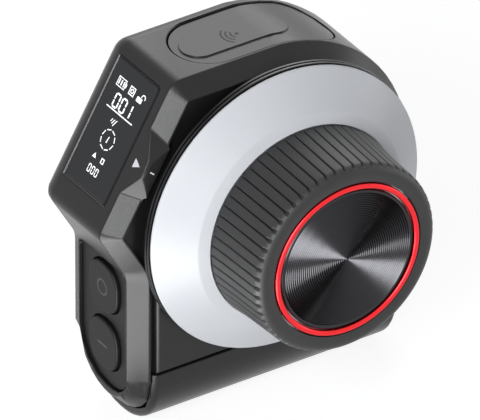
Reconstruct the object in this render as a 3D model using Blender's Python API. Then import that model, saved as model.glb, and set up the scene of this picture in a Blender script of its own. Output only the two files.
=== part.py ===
"""Wireless handwheel controller: a palm-sized housing with a slanted display face, two side keys,
a flat antenna cover on top and a large ribbed handwheel with a white marking ring in front.
Metres, +Z up. X is to the right seen from the wheel, Y runs from the wheel to the back,
and the wheel's axis is the line x = 0, z = axis_height."""

import math

import bmesh
import bpy
from mathutils import Vector

# Fits shared by all pieces
gap = 0.0003              # clearance between pieces that touch
overrun = 0.0020          # how far a cutter runs past the material
pin_fit = 0.0003          # clearance of a pin, stem or screw in its hole
weld = 0.0000005          # points closer than this become one

# Housing: front outline
axis_height = 0.0475      # wheel axis above the surface that the controller stands on
half_width = 0.0340       # axis to the left side
crown_extra = 0.0006
crown_radius = half_width + crown_extra    # round shoulder and right side, about the axis
crown_flat = 0.0002       # flat top below the top of that round
top_height = crown_radius - crown_flat
facet_angle = math.radians(60.0)   # display face against the horizontal
nose_overhang = 0.0069    # sharp edge below the display, out from the left side
nose_reach = half_width + nose_overhang
nose_height = 0.0031      # that edge above the axis
nose_radius = 0.0030
top_corner_radius = 0.0045
waist_radius = 0.0060     # hollow below the nose
least_radius = 0.0006
edge_bevel = 0.0034       # wide bevel round the front
rim_setback = 0.0007      # front rim behind the front plate's face
rim_land = 0.0003         # flat on top of the rim
body_depth = 0.0272       # front plate's face to the back
rear_round = body_depth * 0.184
keel_lift = 0.0030        # underside of the housing above the table
keel_drop = axis_height - keel_lift
front_foot_radius = body_depth * 0.382
rear_foot_radius = body_depth * 0.529
corner_zone = 0.0064      # width of the bevelled lower corners
wall = 0.0023
key_wall = 0.0019         # extra wall behind the keypad
front_floor = 0.0016      # recessed front face behind the front plate's face
front_wall = 0.0020
rear_ledge = 0.0115       # inset of the opening that the rear cover closes
rear_ledge_thickness = 0.0016
rear_ledge_depth = 0.0044  # back of the housing to the ledge
rear_ledge_end = body_depth - rear_ledge_depth
rear_ledge_start = rear_ledge_end - rear_ledge_thickness

# Pointer wedge that carries the index mark, measured in from the sharp edge and up from it
wedge_upper_in = 0.0128         # where the wedge starts on the display face
wedge_lower_in = 0.0053
wedge_tip_upper_in = 0.0099
wedge_tip_lower_in = 0.0080
wedge_tip_setback = 0.0003      # tip of the display face behind the front plate's face
land_upper_in = 0.0105          # flat land in front of the tip, level with the front plate
land_upper_rise = 0.0161
land_lower_in = 0.0088
land_lower_rise = 0.0131
land_top_in = 0.0148
land_end_in = 0.0093
wedge_root_upper_in = 0.0160
wedge_root_lower_in = 0.0080
wedge_past_share = 0.1          # how far the wedge runs past the edge of the front recess

# Rear cover and mount
rear_cover_inset = 0.0073
rear_cover_thickness = 0.0022
rear_cover_drop = keel_drop * 0.607
ledge_step = 0.0040
ledge_floor = rear_cover_drop - ledge_step    # axis to the lower edge of the ledge's opening
standoff_radius = 0.0021
standoff_spread = half_width * 0.529
standoff_top = 0.0095
standoff_drop = keel_drop * 0.427
insert_radius = 0.0050
insert_flange_radius = 0.0070
insert_flange = 0.0026
insert_bore_radius = 0.0030
insert_end = 0.0007
insert_drop = 0.0060      # mount bush below the wheel axis
twist_pin_radius = 0.0018
twist_pin_spread = 0.0120
screw_head_radius = 0.0017
screw_head = 0.0009
screw_shank_radius = 0.0008
cover_screw_length = 0.0044
cover_screw_upper_left = half_width * 0.441
cover_screw_upper_height = top_height * 0.727
cover_screw_right_angle = math.radians(65.5)
cover_screw_lower_spread = half_width * 0.529
cover_screw_lower_rise = 0.0020
cover_screw_lower_drop = rear_cover_drop - cover_screw_lower_rise

# Front plate and bearings
plate_margin = 0.0055
plate_radius = crown_radius - plate_margin
shell_top_drop = keel_drop * 0.7326
plate_drop = shell_top_drop - gap
plate_chamfer = 0.0006
plate_screw_circle = 0.0200
plate_screw_length = 0.0030
bearing_radius = 0.0080
bearing_bore_radius = 0.0040
bearing_start = 0.0010
bearing_spacing = 0.0030  # clear of one another in the tube
race_ring = 0.0012
race_step = 0.0002
tube_wall = 0.0019
lip_opening_radius = 0.0070
stop_circle = 0.0140
stop_pin_radius = 0.0010
stop_pin_depth = 0.0009
stop_travel = math.radians(150.0)
stop_slack = math.radians(1.5)

# Wheel, measured from the front plate's face along the axis
wheel_gap = 0.0005        # running gap to the front plate
carrier_thickness = 0.0017
ring_margin = 0.0021      # marking ring inside the round shoulder
ring_radius = crown_radius - ring_margin
carrier_rim = 0.0002      # carrier's rim outside the marking ring
carrier_radius = ring_radius + carrier_rim
carrier_groove = 0.0005
carrier_groove_width = 0.0003
ring_rim_reach = 0.0030   # wheel side of the front plate to the ring's outer edge
ring_crease_radius = 0.0249
ring_crease_reach = 0.0088
ring_collar_radius = 0.0229
ring_collar_height = 0.0009
ring_wall = 0.0016
hub_flange_radius = 0.0221
hub_flange_reach = 0.0101
hub_radius = 0.0190
hub_reach = 0.0249
hub_neck_radius = 0.0060
hub_web = 0.0020
hub_pocket = 0.0089       # front of the hub down to its web
hub_web_reach = hub_reach - hub_pocket
hub_pocket_radius = 0.0135
hub_boss_radius = 0.0080
hub_rim_wall = 0.0030
hub_back_depth = 0.0110
grip_foot_radius = 0.0222
grip_front_radius = 0.0216
grip_lip = 0.0017         # front of the grip before the hub
grip_front_reach = hub_reach + grip_lip
grip_lip_radius = 0.0020
grip_eye_radius = 0.0178
rib_count = 60
rib_groove = 0.0007       # depth of the grooves between the ribs
rib_groove_half_share = 0.13
accent_outer_radius = 0.0175
accent_inner_radius = 0.0163
accent_lip = 0.0019       # front of the red ring before the hub
accent_reach = hub_reach + accent_lip
accent_round = 0.0003
cap_sink = 0.0004         # cap behind the red ring's front
cap_reach = accent_reach - cap_sink
cap_thickness = 0.0012
cap_spigot_radius = 0.0130
cap_spigot = 0.0020
shaft_radius = 0.0037
shaft_tail = 0.0014       # shaft's end behind the bearing tube
shaft_groove = 0.0005
clip_radius = 0.0062
clip_thickness = 0.0006
magnet_radius = 0.0030
magnet_thickness = 0.0016
hub_screw_head_radius = 0.0028
hub_screw_head = 0.0022
hub_screw_radius = 0.0015
hub_screw_length = 0.0062

# Display
facet_length = (top_height - nose_height) / math.sin(facet_angle)
window_length = facet_length * 0.7526
window_width = body_depth * 0.548
window_thickness = 0.0012
window_radius = 0.0006
window_inward = facet_length * math.cos(facet_angle) * 0.548   # sharp edge to the window's middle
window_depth = body_depth * 0.5165    # front plate's face to the window's middle
light_end = 0.0020        # black border of the display
light_side = 0.00135
light_length = window_length - 2.0 * light_end
light_width = window_width - 2.0 * light_side
module_border = 0.0004
module_thickness = 0.0016
module_glass = 0.0008
window_edge = 0.0003

# Antenna cover
cover_depth = body_depth * 0.493      # front plate's face to its middle line
cover_half_width = body_depth * 0.305
cover_left = half_width * 0.232    # axis to the middle of its left end
cover_right = half_width * 0.3735
cover_sink = 0.0003
cover_thickness = 0.0010
pad_depth = body_depth * 0.474
pad_half_width = cover_half_width * 0.506
pad_left = half_width * 0.312
pad_right = half_width * 0.182
pad_rise = 0.0003
patch_half_length = 0.0045
patch_half_width = cover_half_width * 0.482
patch_thickness = 0.0010

# Keypad on the left side
keypad_front = body_depth * 0.169
keypad_rear = body_depth * 0.794
keypad_top_drop = keel_drop * 0.1933
keypad_drop = keel_drop * 0.881
keypad_sink = 0.0007
keypad_thickness = 0.0011
keypad_corner_radius = 0.0020
keypad_rear_radius = body_depth * 0.360
keypad_front_radius = body_depth * 0.184
key_half_width = body_depth * 0.195
key_depth = body_depth * 0.474
key_half_height = keel_drop * 0.130
upper_key_drop = keel_drop * 0.3596    # wheel axis to the middle of the upper key
lower_key_drop = keel_drop * 0.674
key_corner_radius = key_half_width * 0.849
key_rise = 0.0009
key_round = 0.0005
key_thickness = 0.0012
key_stem_radius = 0.0013
key_stem = 0.0011
key_board_thickness = 0.0010
key_board_border = 0.0010
switch_side = 0.0045
switch_height = 0.0011
plunger_radius = 0.0010
plunger_height = 0.0002

# Bottom shell
shell_margin = 0.0040
shell_half_width = half_width - shell_margin
shell_front_skin = 0.0016
shell_rear_skin = 0.0013
shell_foot_radius = front_foot_radius + shell_front_skin
shell_rear_radius = rear_foot_radius + shell_rear_skin
shell_rear_drop = keel_drop * 0.764
shell_rear_lip = 0.0015   # rear edge of the shell behind the housing
shell_rear_reach = body_depth + shell_rear_lip
shell_edge_round = 0.0014
shell_screw_spread = half_width * 0.588
shell_screw_depth = body_depth * 0.478
shell_screw_length = 0.0036
shell_screw_sink = 0.0003

# Inside
board_thickness = 0.0016
board_seat = 0.0002       # board in front of the ledge
board_front = rear_ledge_start - board_thickness - board_seat
board_left = half_width * 0.647
board_right = half_width * 0.8235
board_shoulder = half_width * 0.632
board_top = top_height * 0.509
board_drop = keel_drop * 0.7416
board_step_drop = 0.0080
chip_side = 0.0050
chip_thickness = 0.0009
sensor_gap = 0.0012       # magnet to the sensor chip, with the play around both
shaft_end = board_front - chip_thickness - magnet_thickness - sensor_gap
tube_end = shaft_end - shaft_tail
cell_clearance = 0.0028   # holder's wall and the play in front of the cell
cell_radius = (board_front - front_floor - front_wall - cell_clearance) / 2.0
cell_length = half_width * 1.382
cell_cap_radius = 0.0028
cell_cap = 0.0008
holder_wall = 0.0012
holder_clearance = 0.0065  # underside of the housing to the holder
cell_drop = keel_drop - holder_clearance - holder_wall - gap - cell_radius
holder_front = 0.0010
port_drop = 0.0125
port_width = 0.0090
port_corner = 0.0012
port_height = 0.0033
port_length = 0.0076
port_wall = 0.0004
port_tongue = 0.0007
port_tongue_setback = 0.0010
port_setback = 0.0008
port_reach = crown_radius - port_setback

# Counts
turn_steps = 64
turn_half = 32
wheel_steps = 64
hidden_steps = 32
lip_steps = 4
slot_steps = 40
small_steps = 24
crown_steps = 16
corner_steps = 4
foot_steps = 10
screw_steps = 16


def material(name, color, roughness, metallic=0.0):
    mat = bpy.data.materials.new(name)
    mat.use_nodes = True
    shader = mat.node_tree.nodes["Principled BSDF"]
    shader.inputs["Base Color"].default_value = (*color, 1.0)
    shader.inputs["Roughness"].default_value = roughness
    shader.inputs["Metallic"].default_value = metallic
    return mat


def finish(name, bm, mat, location=(0.0, 0.0, 0.0), sharp=35.0):
    """Turn a bmesh into a named object with outward faces and smooth round sides."""
    bmesh.ops.remove_doubles(bm, verts=bm.verts, dist=weld)
    bmesh.ops.recalc_face_normals(bm, faces=bm.faces)
    mesh = bpy.data.meshes.new(name)
    bm.to_mesh(mesh)
    bm.free()
    mesh.shade_smooth()
    mesh.set_sharp_from_angle(angle=math.radians(sharp))
    obj = bpy.data.objects.new(name, mesh)
    obj.location = location
    bpy.context.scene.collection.objects.link(obj)
    if mat is not None:
        mesh.materials.append(mat)
    return obj


def as_cutter(obj):
    obj.hide_render = True
    obj.display_type = "WIRE"
    return obj


def combine(obj, other, operation):
    mod = obj.modifiers.new(operation.lower() + " " + other.name, "BOOLEAN")
    mod.operation = operation
    mod.solver = "EXACT"
    mod.object = other


def cut(obj, cutter):
    combine(obj, as_cutter(cutter), "DIFFERENCE")


def add(obj, extra):
    combine(obj, as_cutter(extra), "UNION")


def prism(name, points, axis, start, end, mat=None, location=(0.0, 0.0, 0.0), rounded=0.0):
    """Extrude a flat outline along X, Y or Z. Points are the two other coordinates, in order."""
    def place(p, q):
        return {"X": (start, p, q), "Y": (p, start, q), "Z": (p, q, start)}[axis]
    bm = bmesh.new()
    face = bm.faces.new([bm.verts.new(place(p, q)) for p, q in points])
    out = bmesh.ops.extrude_face_region(bm, geom=[face])
    moved = [v for v in out["geom"] if isinstance(v, bmesh.types.BMVert)]
    step = Vector([end - start if a == axis else 0.0 for a in "XYZ"])
    bmesh.ops.translate(bm, vec=step, verts=moved)
    if rounded:
        front = [e for e in bm.edges if all(v in moved for v in e.verts)]
        bmesh.ops.bevel(bm, geom=front, offset=rounded, segments=2, profile=0.5, affect="EDGES")
    return finish(name, bm, mat, location)


def box(name, low, high, mat=None, location=(0.0, 0.0, 0.0)):
    corners = [(low[0], low[1]), (high[0], low[1]), (high[0], high[1]), (low[0], high[1])]
    return prism(name, corners, "Z", low[2], high[2], mat, location)


def turned(name, profile, mat=None, location=(0.0, 0.0, 0.0), steps=turn_steps, sharp=30.0):
    """Spin a closed profile of (radius, y) points about the Y axis."""
    bm = bmesh.new()
    verts = [bm.verts.new((r, y, 0.0)) for r, y in profile]
    edges = [bm.edges.new((verts[i], verts[i - 1])) for i in range(len(verts))]
    edges = [e for e in edges if any(abs(v.co.x) > 0.0 for v in e.verts)]
    bmesh.ops.spin(bm, geom=verts + edges, cent=(0.0, 0.0, 0.0), axis=(0.0, 1.0, 0.0),
                   angle=math.tau, steps=steps, use_merge=True)
    loose = [e for e in bm.edges if not e.link_faces]
    bmesh.ops.delete(bm, geom=loose, context="EDGES")
    return finish(name, bm, mat, location, sharp)


def rod(name, radius, start, end, mat=None, location=(0.0, 0.0, 0.0), axis="Y", steps=small_steps):
    ring = [(radius * math.cos(math.tau * i / steps), radius * math.sin(math.tau * i / steps))
            for i in range(steps)]
    return prism(name, ring, axis, start, end, mat, location)


def bridge(bm, rings):
    """Join rings of equal point counts, one after the other, and close both ends."""
    rows = [[bm.verts.new(p) for p in ring] for ring in rings]
    bm.faces.new(rows[0])
    bm.faces.new(rows[-1])
    for a, b in zip(rows[:-1], rows[1:]):
        for i in range(len(a)):
            bm.faces.new((a[i - 1], a[i], b[i], b[i - 1]))


def skin(name, rings, mat=None, location=(0.0, 0.0, 0.0), sharp=35.0):
    bm = bmesh.new()
    bridge(bm, rings)
    return finish(name, bm, mat, location, sharp)


def screws(name, places, axis, face, way, length, spare=0.0, mat=None, location=(0.0, 0.0, 0.0)):
    """Countersunk screws along an axis, heads flush with face; way is the direction they point."""
    bm = bmesh.new()
    levels = [(screw_head_radius + spare, face - way * spare),
              (screw_head_radius + spare, face),
              (screw_shank_radius + spare, face + way * screw_head),
              (screw_shank_radius + spare, face + way * (length + spare))]
    if not spare:
        levels = levels[1:]
    for a, b in places:
        rings = []
        for radius, level in levels:
            ring = []
            for i in range(screw_steps):
                p = a + radius * math.cos(math.tau * i / screw_steps)
                q = b + radius * math.sin(math.tau * i / screw_steps)
                ring.append({"Y": (p, level, q), "Z": (p, q, level)}[axis])
            rings.append(ring)
        bridge(bm, rings)
    return finish(name, bm, mat, location, 25.0)


def crossing(p, d, q, e):
    """Meeting point of the line through p along d and the line through q along e."""
    det = d[0] * e[1] - d[1] * e[0]
    s = ((q[0] - p[0]) * e[1] - (q[1] - p[1]) * e[0]) / det
    return (p[0] + d[0] * s, p[1] + d[1] * s)


def fillet(before, corner, after, radius, steps=corner_steps):
    """Points of the arc that rounds a corner between its two neighbours."""
    c = Vector(corner)
    a = (Vector(before) - c).normalized()
    b = (Vector(after) - c).normalized()
    half = a.angle(b) / 2.0
    reach = radius / math.tan(half)
    middle = c + (a + b).normalized() * (radius / math.sin(half))
    start = c + a * reach - middle
    end = c + b * reach - middle
    turn = start.angle_signed(end)
    points = []
    for i in range(steps + 1):
        angle = -turn * i / steps
        ca, sa = math.cos(angle), math.sin(angle)
        points.append((middle.x + start.x * ca - start.y * sa,
                       middle.y + start.x * sa + start.y * ca))
    return points


def rounded_outline(corners, radii, steps=corner_steps):
    points = []
    for i, corner in enumerate(corners):
        before, after = corners[i - 1], corners[(i + 1) % len(corners)]
        points += fillet(before, corner, after, radii[i], steps)
    return points


def rectangle(width, height, radius, steps=corner_steps):
    w, h = width / 2.0, height / 2.0
    return rounded_outline([(w, -h), (w, h), (-w, h), (-w, -h)], [radius] * 4, steps)


# Housing outline

def front_corners(inset):
    """Top, nose and waist corners and the left side of the front outline, drawn in by inset."""
    run = (math.cos(facet_angle), math.sin(facet_angle))
    nose = (-nose_reach, nose_height)
    upper = (nose[0] + inset * run[1], nose[1] - inset * run[0])
    lower = (nose[0] + inset * run[1], nose[1] + inset * run[0])
    fall = (run[0], -run[1])
    top = crossing((0.0, top_height - inset), (1.0, 0.0), upper, run)
    tip = crossing(upper, run, lower, fall)
    return top, tip, lower, fall


def keel(x, y, lift):
    """Height of the underside: a bow and a stern of round section, bevelled to the sides."""
    side = half_width - abs(x) if x < 0.0 else crown_radius - abs(x)
    bevel = max(0.0, edge_bevel - side)
    bow = front_foot_radius - bevel - lift
    stern = rear_foot_radius - bevel - lift
    bow_y = rim_setback + front_foot_radius
    stern_y = body_depth - rear_foot_radius
    stern_y -= (rear_round - edge_bevel) * bevel / edge_bevel
    if y < bow_y:
        rise = math.sqrt(max(0.0, bow ** 2 - (bow_y - y) ** 2))
        return -(keel_drop - front_foot_radius) - rise
    if y < stern_y:
        return -keel_drop + bevel + lift
    rise = math.sqrt(max(0.0, stern ** 2 - (y - stern_y) ** 2))
    return -(keel_drop - rear_foot_radius) - rise


def body_ring(y, inset, lift=0.0, extra=0.0, floor=None):
    """One section of the housing at depth y, as points (x, y, z) about the wheel axis."""
    top, tip, lower, fall = front_corners(inset)
    left = -half_width + inset + extra
    waist = crossing(lower, fall, (left, 0.0), (0.0, -1.0))
    crown = crown_radius - inset
    last = math.asin((top_height - inset) / crown)
    points = [(crown * math.cos(last * i / crown_steps), crown * math.sin(last * i / crown_steps))
              for i in range(crown_steps + 1)]
    points += fillet((0.0, top[1]), top, tip, max(top_corner_radius - inset, least_radius))
    points += fillet(top, tip, waist, max(nose_radius - inset, least_radius))
    below = (left, -keel_drop)
    points += fillet(tip, waist, below, waist_radius + inset)
    inner = half_width - corner_zone - inset
    step = edge_bevel / (corner_steps - 1)
    across = [left + step * i for i in range(corner_steps)] + [-inner, inner]
    across += [crown - step * i for i in reversed(range(corner_steps))]
    points += [(x, keel(x, y, lift)) for x in across]
    if floor is not None:
        points = [(x, max(z, -floor)) for x, z in points]
    return [(x, y, z) for x, z in points]


def rim_inset(y):
    """How far the outline is drawn in by the front bevel and the rounded back edge."""
    bevel_end = rim_setback + edge_bevel
    round_start = body_depth - rear_round
    if y < bevel_end:
        return bevel_end - y
    if y > round_start:
        return rear_round - math.sqrt(max(0.0, rear_round ** 2 - (y - round_start) ** 2))
    return 0.0


def facet_point(inward, y):
    """Point of the display face at a distance in from the sharp edge."""
    return (inward - nose_reach, y, nose_height + inward * math.tan(facet_angle))


def recess_edge(inward, y):
    """Point on the left edge of the front recess, which runs along the display face."""
    x, y, z = facet_point(inward, y)
    return (x, y, z - (edge_bevel + rim_land) / math.cos(facet_angle))


def past(point, before):
    """The point moved on by a share of its way from the one before it."""
    return tuple(p + (p - q) * wedge_past_share for p, q in zip(point, before))


def strip(name, middle, half, left, right, lift, thickness, mat=None, location=(0.0, 0.0, 0.0),
          flat=None):
    """Stadium-shaped piece that lies on the top and bends over the round shoulder."""
    shares = [math.sin(math.pi / 2.0 * i / foot_steps) for i in range(foot_steps + 1)]
    stations = []
    for share in reversed(shares):
        stations.append((-left - half * share, half * math.sqrt(max(0.0, 1.0 - share ** 2))))
    bends = crown_steps // 2
    for i in range(1, bends):
        stations.append((-left + (right + left) * i / bends, half))
    for share in shares:
        stations.append((right + half * share, half * math.sqrt(max(0.0, 1.0 - share ** 2))))
    rings = []
    for x, reach in stations:
        reach = max(reach, gap)
        crown = top_height if x < 0.0 else math.sqrt(crown_radius ** 2 - x ** 2)
        skin_z = min(top_height, crown) + lift
        high = skin_z if flat is None else flat
        rings.append([(x, middle - reach, skin_z - thickness), (x, middle - reach, high),
                      (x, middle + reach, high), (x, middle + reach, skin_z - thickness)])
    return skin(name, rings, mat, location, sharp=25.0)


# Build

for old in list(bpy.data.objects):
    bpy.data.objects.remove(old, do_unlink=True)

shell_grey = material("moulded grey plastic", (0.055, 0.055, 0.057), 0.5)
plate_grey = material("dark plate", (0.045, 0.045, 0.047), 0.5)
cover_grey = material("antenna cover plastic", (0.085, 0.085, 0.088), 0.42)
glass_black = material("display glass", (0.02, 0.021, 0.024), 0.12)
silicone = material("silicone", (0.03, 0.03, 0.03), 0.65)
rubber = material("wheel rubber", (0.04, 0.04, 0.04), 0.7)
white_plastic = material("white marking plastic", (0.80, 0.81, 0.84), 0.4)
black_plastic = material("black plastic", (0.015, 0.015, 0.015), 0.5)
red_metal = material("red anodised metal", (0.75, 0.03, 0.04), 0.35, 0.3)
turned_black = material("black turned metal", (0.02, 0.02, 0.02), 0.3, 0.9)
aluminium = material("aluminium", (0.60, 0.60, 0.62), 0.35, 1.0)
steel = material("steel", (0.55, 0.55, 0.56), 0.3, 1.0)
dark_steel = material("blackened steel", (0.06, 0.06, 0.06), 0.4, 1.0)
brass = material("brass", (0.72, 0.52, 0.22), 0.35, 1.0)
board_green = material("circuit board", (0.02, 0.10, 0.05), 0.5)
cell_wrap = material("cell sleeve", (0.05, 0.16, 0.35), 0.4)
sensor_black = material("sensor package", (0.02, 0.02, 0.02), 0.45)

hub_point = (0.0, 0.0, axis_height)
bevel_end = rim_setback + edge_bevel
round_start = body_depth - rear_round
plate_thickness = front_floor - gap
tube_bore = bearing_radius + gap
tube_radius = tube_bore + tube_wall
bearing_width = (tube_end - gap - bearing_start - bearing_spacing) / 2.0

# Main housing: sections from the front rim over the bevel to the rounded back
bow_y = rim_setback + front_foot_radius
stern_y = body_depth - rear_foot_radius
stations = [rim_setback, bevel_end, bevel_end + (bow_y - bevel_end) / 3.0,
            bevel_end + (bow_y - bevel_end) * 2.0 / 3.0, bow_y, stern_y]
stations += [stern_y + (round_start - stern_y) * i / 4 for i in range(1, 5)]
stations += [round_start + rear_round * math.sin(math.pi / 2.0 * i / 4) for i in range(1, 5)]
stations.insert(1, (rim_setback + bevel_end) / 2.0)
housing = skin("main_housing", [body_ring(y, rim_inset(y)) for y in stations], shell_grey, hub_point)

# Pointer wedge across the bevel
wedge_mesh = bmesh.new()
upper_start = facet_point(wedge_upper_in, bevel_end)
lower_start = facet_point(wedge_lower_in, bevel_end)
land_upper = (land_upper_in - nose_reach, 0.0, nose_height + land_upper_rise)
land_lower = (land_lower_in - nose_reach, 0.0, nose_height + land_lower_rise)
roots = [past(recess_edge(wedge_root_upper_in, front_floor), upper_start),
         past(recess_edge(wedge_root_lower_in, front_floor), lower_start)]
wedge_points = [upper_start, lower_start, facet_point(wedge_tip_upper_in, wedge_tip_setback),
                facet_point(wedge_tip_lower_in, wedge_tip_setback), land_upper, land_lower,
                past(recess_edge(land_top_in, 0.0), land_upper),
                past(recess_edge(land_end_in, 0.0), land_lower)]
wedge_points += roots + [(x, bevel_end, z) for x, _, z in roots]
for point in wedge_points:
    wedge_mesh.verts.new(point)
bmesh.ops.convex_hull(wedge_mesh, input=wedge_mesh.verts)
loose = [v for v in wedge_mesh.verts if not v.link_faces]
bmesh.ops.delete(wedge_mesh, geom=loose, context="VERTS")
add(housing, finish("pointer wedge", wedge_mesh, None, hub_point))

# Inside space, open at the back
inside = [body_ring(front_floor + front_wall, wall + rim_land, wall, key_wall),
          body_ring(bevel_end + rim_setback, wall, wall, key_wall),
          body_ring(bow_y, wall, wall, key_wall),
          body_ring(stern_y, wall, wall, key_wall),
          body_ring((stern_y + rear_ledge_start) / 2.0, wall, wall, key_wall),
          body_ring(rear_ledge_start, wall, wall, key_wall),
          body_ring(rear_ledge_end, rear_ledge, wall, floor=ledge_floor),
          body_ring(body_depth + overrun, rear_ledge, wall, floor=ledge_floor)]
cut(housing, skin("inside space", inside, None, hub_point))

# Front recess, open at the bottom for the shell
recess = [(x, z) for x, _, z in body_ring(front_floor, edge_bevel + rim_land)]
recess_floor_start = len(recess) - 2 * (corner_steps + 1)
left_wall = -half_width + edge_bevel + rim_land
right_wall = crown_radius - edge_bevel - rim_land
recess = recess[:recess_floor_start] + [(left_wall, -keel_drop - overrun),
                                        (right_wall, -keel_drop - overrun)]
cut(housing, prism("front recess", recess, "Y", -overrun, front_floor, None, hub_point))
cut(housing, rod("tube hole", tube_radius + gap, front_floor - overrun,
                 front_floor + front_wall + overrun, None, hub_point, steps=hidden_steps))


def slanted(obj):
    """Lay an object made flat on the display face: its x runs up the slope, its z points out."""
    x, y, z = facet_point(window_inward, window_depth)
    obj.location = (x, y, axis_height + z)
    obj.rotation_euler = (0.0, -facet_angle, 0.0)
    return obj


# Display recess and light opening
recess_plan = rectangle(window_length + 2 * gap, window_width + 2 * gap, window_radius + gap)
cut(housing, slanted(prism("display recess", recess_plan, "Z", -window_thickness - gap, overrun)))
light_plan = rectangle(light_length, light_width, window_radius)
cut(housing, slanted(prism("light opening", light_plan, "Z", -wall - overrun, 0.0)))
window_plan = rectangle(window_length, window_width, window_radius)
slanted(prism("display_window", window_plan, "Z", -window_thickness, 0.0, glass_black,
              rounded=window_edge))

# Display module: a block with a raised glass that looks through the light opening
module_top = -wall - gap
module_half = light_length / 2.0 + module_border
module_side = light_width / 2.0 + module_border
glass_half = light_length / 2.0 - gap
glass_side = light_width / 2.0 - gap
display_module = slanted(box("display_module", (-module_half, -module_side, module_top - module_thickness),
                             (module_half, module_side, module_top), sensor_black))
add(display_module, slanted(box("module glass", (-glass_half, -glass_side, module_top - module_glass),
                                (glass_half, glass_side, module_top + module_glass))))

# Antenna cover with its raised pad, let into the top
cut(housing, strip("cover recess", cover_depth, cover_half_width + gap, cover_left, cover_right,
                   -cover_sink, cover_thickness + gap, None, hub_point, top_height + overrun))
antenna = strip("antenna_cover", cover_depth, cover_half_width, cover_left, cover_right,
                -cover_sink, cover_thickness, cover_grey, hub_point)
add(antenna, strip("raised pad", pad_depth, pad_half_width, pad_left, pad_right,
                   pad_rise - cover_sink, pad_rise + cover_thickness / 2.0, None, hub_point))
patch_top = top_height - wall - gap
box("antenna_patch", (-patch_half_length, cover_depth - patch_half_width, patch_top - patch_thickness),
    (patch_half_length, cover_depth + patch_half_width, patch_top), board_green, hub_point)

# Keypad mat in a shallow recess of the left side
outer = -half_width + keypad_sink
inner = outer + keypad_thickness


def keypad_plan(grow):
    front, rear = keypad_front - grow, keypad_rear + grow
    top, low = -keypad_top_drop + grow, -keypad_drop - grow
    radii = [keypad_front_radius, keypad_rear_radius, keypad_corner_radius, keypad_corner_radius]
    corners = [(front, low), (rear, low), (rear, top), (front, top)]
    return rounded_outline(corners, [r + grow for r in radii])


def key_plan(grow, depth=0.0, drop=0.0):
    plan = rectangle(2 * (key_half_width + grow), 2 * (key_half_height + grow),
                     key_corner_radius + grow)
    return [(p + depth, q - drop) for p, q in plan]


cut(housing, prism("keypad recess", keypad_plan(gap), "X", -half_width - overrun, inner + gap,
                   None, hub_point))
mat_rubber = prism("keypad_mat", keypad_plan(0.0), "X", inner, outer, silicone, hub_point)
wall_inner = -half_width + wall + key_wall
board_outer = wall_inner + gap
switch_low = board_outer - gap
for key_name, switch_name, drop in (("upper_key", "upper_switch", upper_key_drop),
                                    ("lower_key", "lower_switch", lower_key_drop)):
    cut(mat_rubber, prism(key_name + " hole", key_plan(gap, key_depth, drop), "X",
                          outer - overrun, inner + overrun, None, hub_point))
    key = prism(key_name, key_plan(0.0), "X", outer - key_rise + key_thickness, outer - key_rise,
                silicone, (0.0, key_depth, axis_height - drop), key_round)
    stem_start = outer - key_rise + key_thickness
    add(key, rod(key_name + " stem", key_stem_radius, stem_start - key_round,
                 stem_start + key_stem, None, (0.0, key_depth, axis_height - drop), "X"))
    half_well = switch_side / 2.0 + gap
    cut(housing, box(key_name + " switch well", (inner, key_depth - half_well, -drop - half_well),
                     (wall_inner + overrun, key_depth + half_well, -drop + half_well), None,
                     hub_point))
    half_side = switch_side / 2.0
    switch = box(switch_name, (switch_low - switch_height, -half_side, -half_side),
                 (switch_low, half_side, half_side), sensor_black,
                 (0.0, key_depth, axis_height - drop))
    add(switch, rod(switch_name + " plunger", plunger_radius,
                    switch_low - switch_height - plunger_height, switch_low - switch_height / 2.0,
                    None, (0.0, key_depth, axis_height - drop), "X"))

box("key_board", (board_outer, key_depth - key_half_width - key_board_border,
                  -lower_key_drop - key_half_height - key_board_border),
    (board_outer + key_board_thickness, key_depth + key_half_width + key_board_border,
     -upper_key_drop + key_half_height + key_board_border), board_green, hub_point)

# Rear cover in its rebate, with standoffs for the board
rebate = [(x, z) for x, _, z in body_ring(body_depth, rear_cover_inset - gap, wall,
                                          floor=rear_cover_drop + gap)]
cut(housing, prism("cover rebate", rebate, "Y", body_depth - rear_cover_thickness - gap,
                   body_depth + overrun, None, hub_point))
cover_plan = [(x, z) for x, _, z in body_ring(body_depth, rear_cover_inset, wall,
                                              floor=rear_cover_drop)]
cover_inner = body_depth - rear_cover_thickness
rear_cover = prism("rear_cover", cover_plan, "Y", cover_inner, body_depth, shell_grey, hub_point)
board_back = board_front + board_thickness
for x in (-standoff_spread, standoff_spread):
    for z in (standoff_top, -standoff_drop):
        add(rear_cover, rod("standoff", standoff_radius, board_back + gap,
                            cover_inner + rear_cover_thickness / 2.0, None,
                            (x, 0.0, axis_height + z)))
insert_point = (0.0, 0.0, axis_height - insert_drop)
cut(rear_cover, rod("insert hole", insert_radius + gap, cover_inner - overrun,
                    body_depth + overrun, None, insert_point, steps=small_steps))
for x in (-twist_pin_spread, twist_pin_spread):
    cut(rear_cover, rod("twist pin hole", twist_pin_radius, cover_inner - overrun,
                        body_depth + overrun, None, (x, 0.0, axis_height - insert_drop)))
flange_back = cover_inner - gap
turned("mount_insert", [(insert_bore_radius, flange_back - insert_flange),
                        (insert_flange_radius, flange_back - insert_flange),
                        (insert_flange_radius, flange_back), (insert_radius, flange_back),
                        (insert_radius, body_depth - insert_end),
                        (insert_bore_radius, body_depth - insert_end)],
       brass, insert_point, steps=small_steps)
screw_circle = crown_radius - (rear_cover_inset + rear_ledge) / 2.0
cover_places = [(-cover_screw_upper_left, cover_screw_upper_height),
                (screw_circle * math.cos(cover_screw_right_angle),
                 screw_circle * math.sin(cover_screw_right_angle)),
                (-cover_screw_lower_spread, -cover_screw_lower_drop),
                (cover_screw_lower_spread, -cover_screw_lower_drop)]
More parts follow.
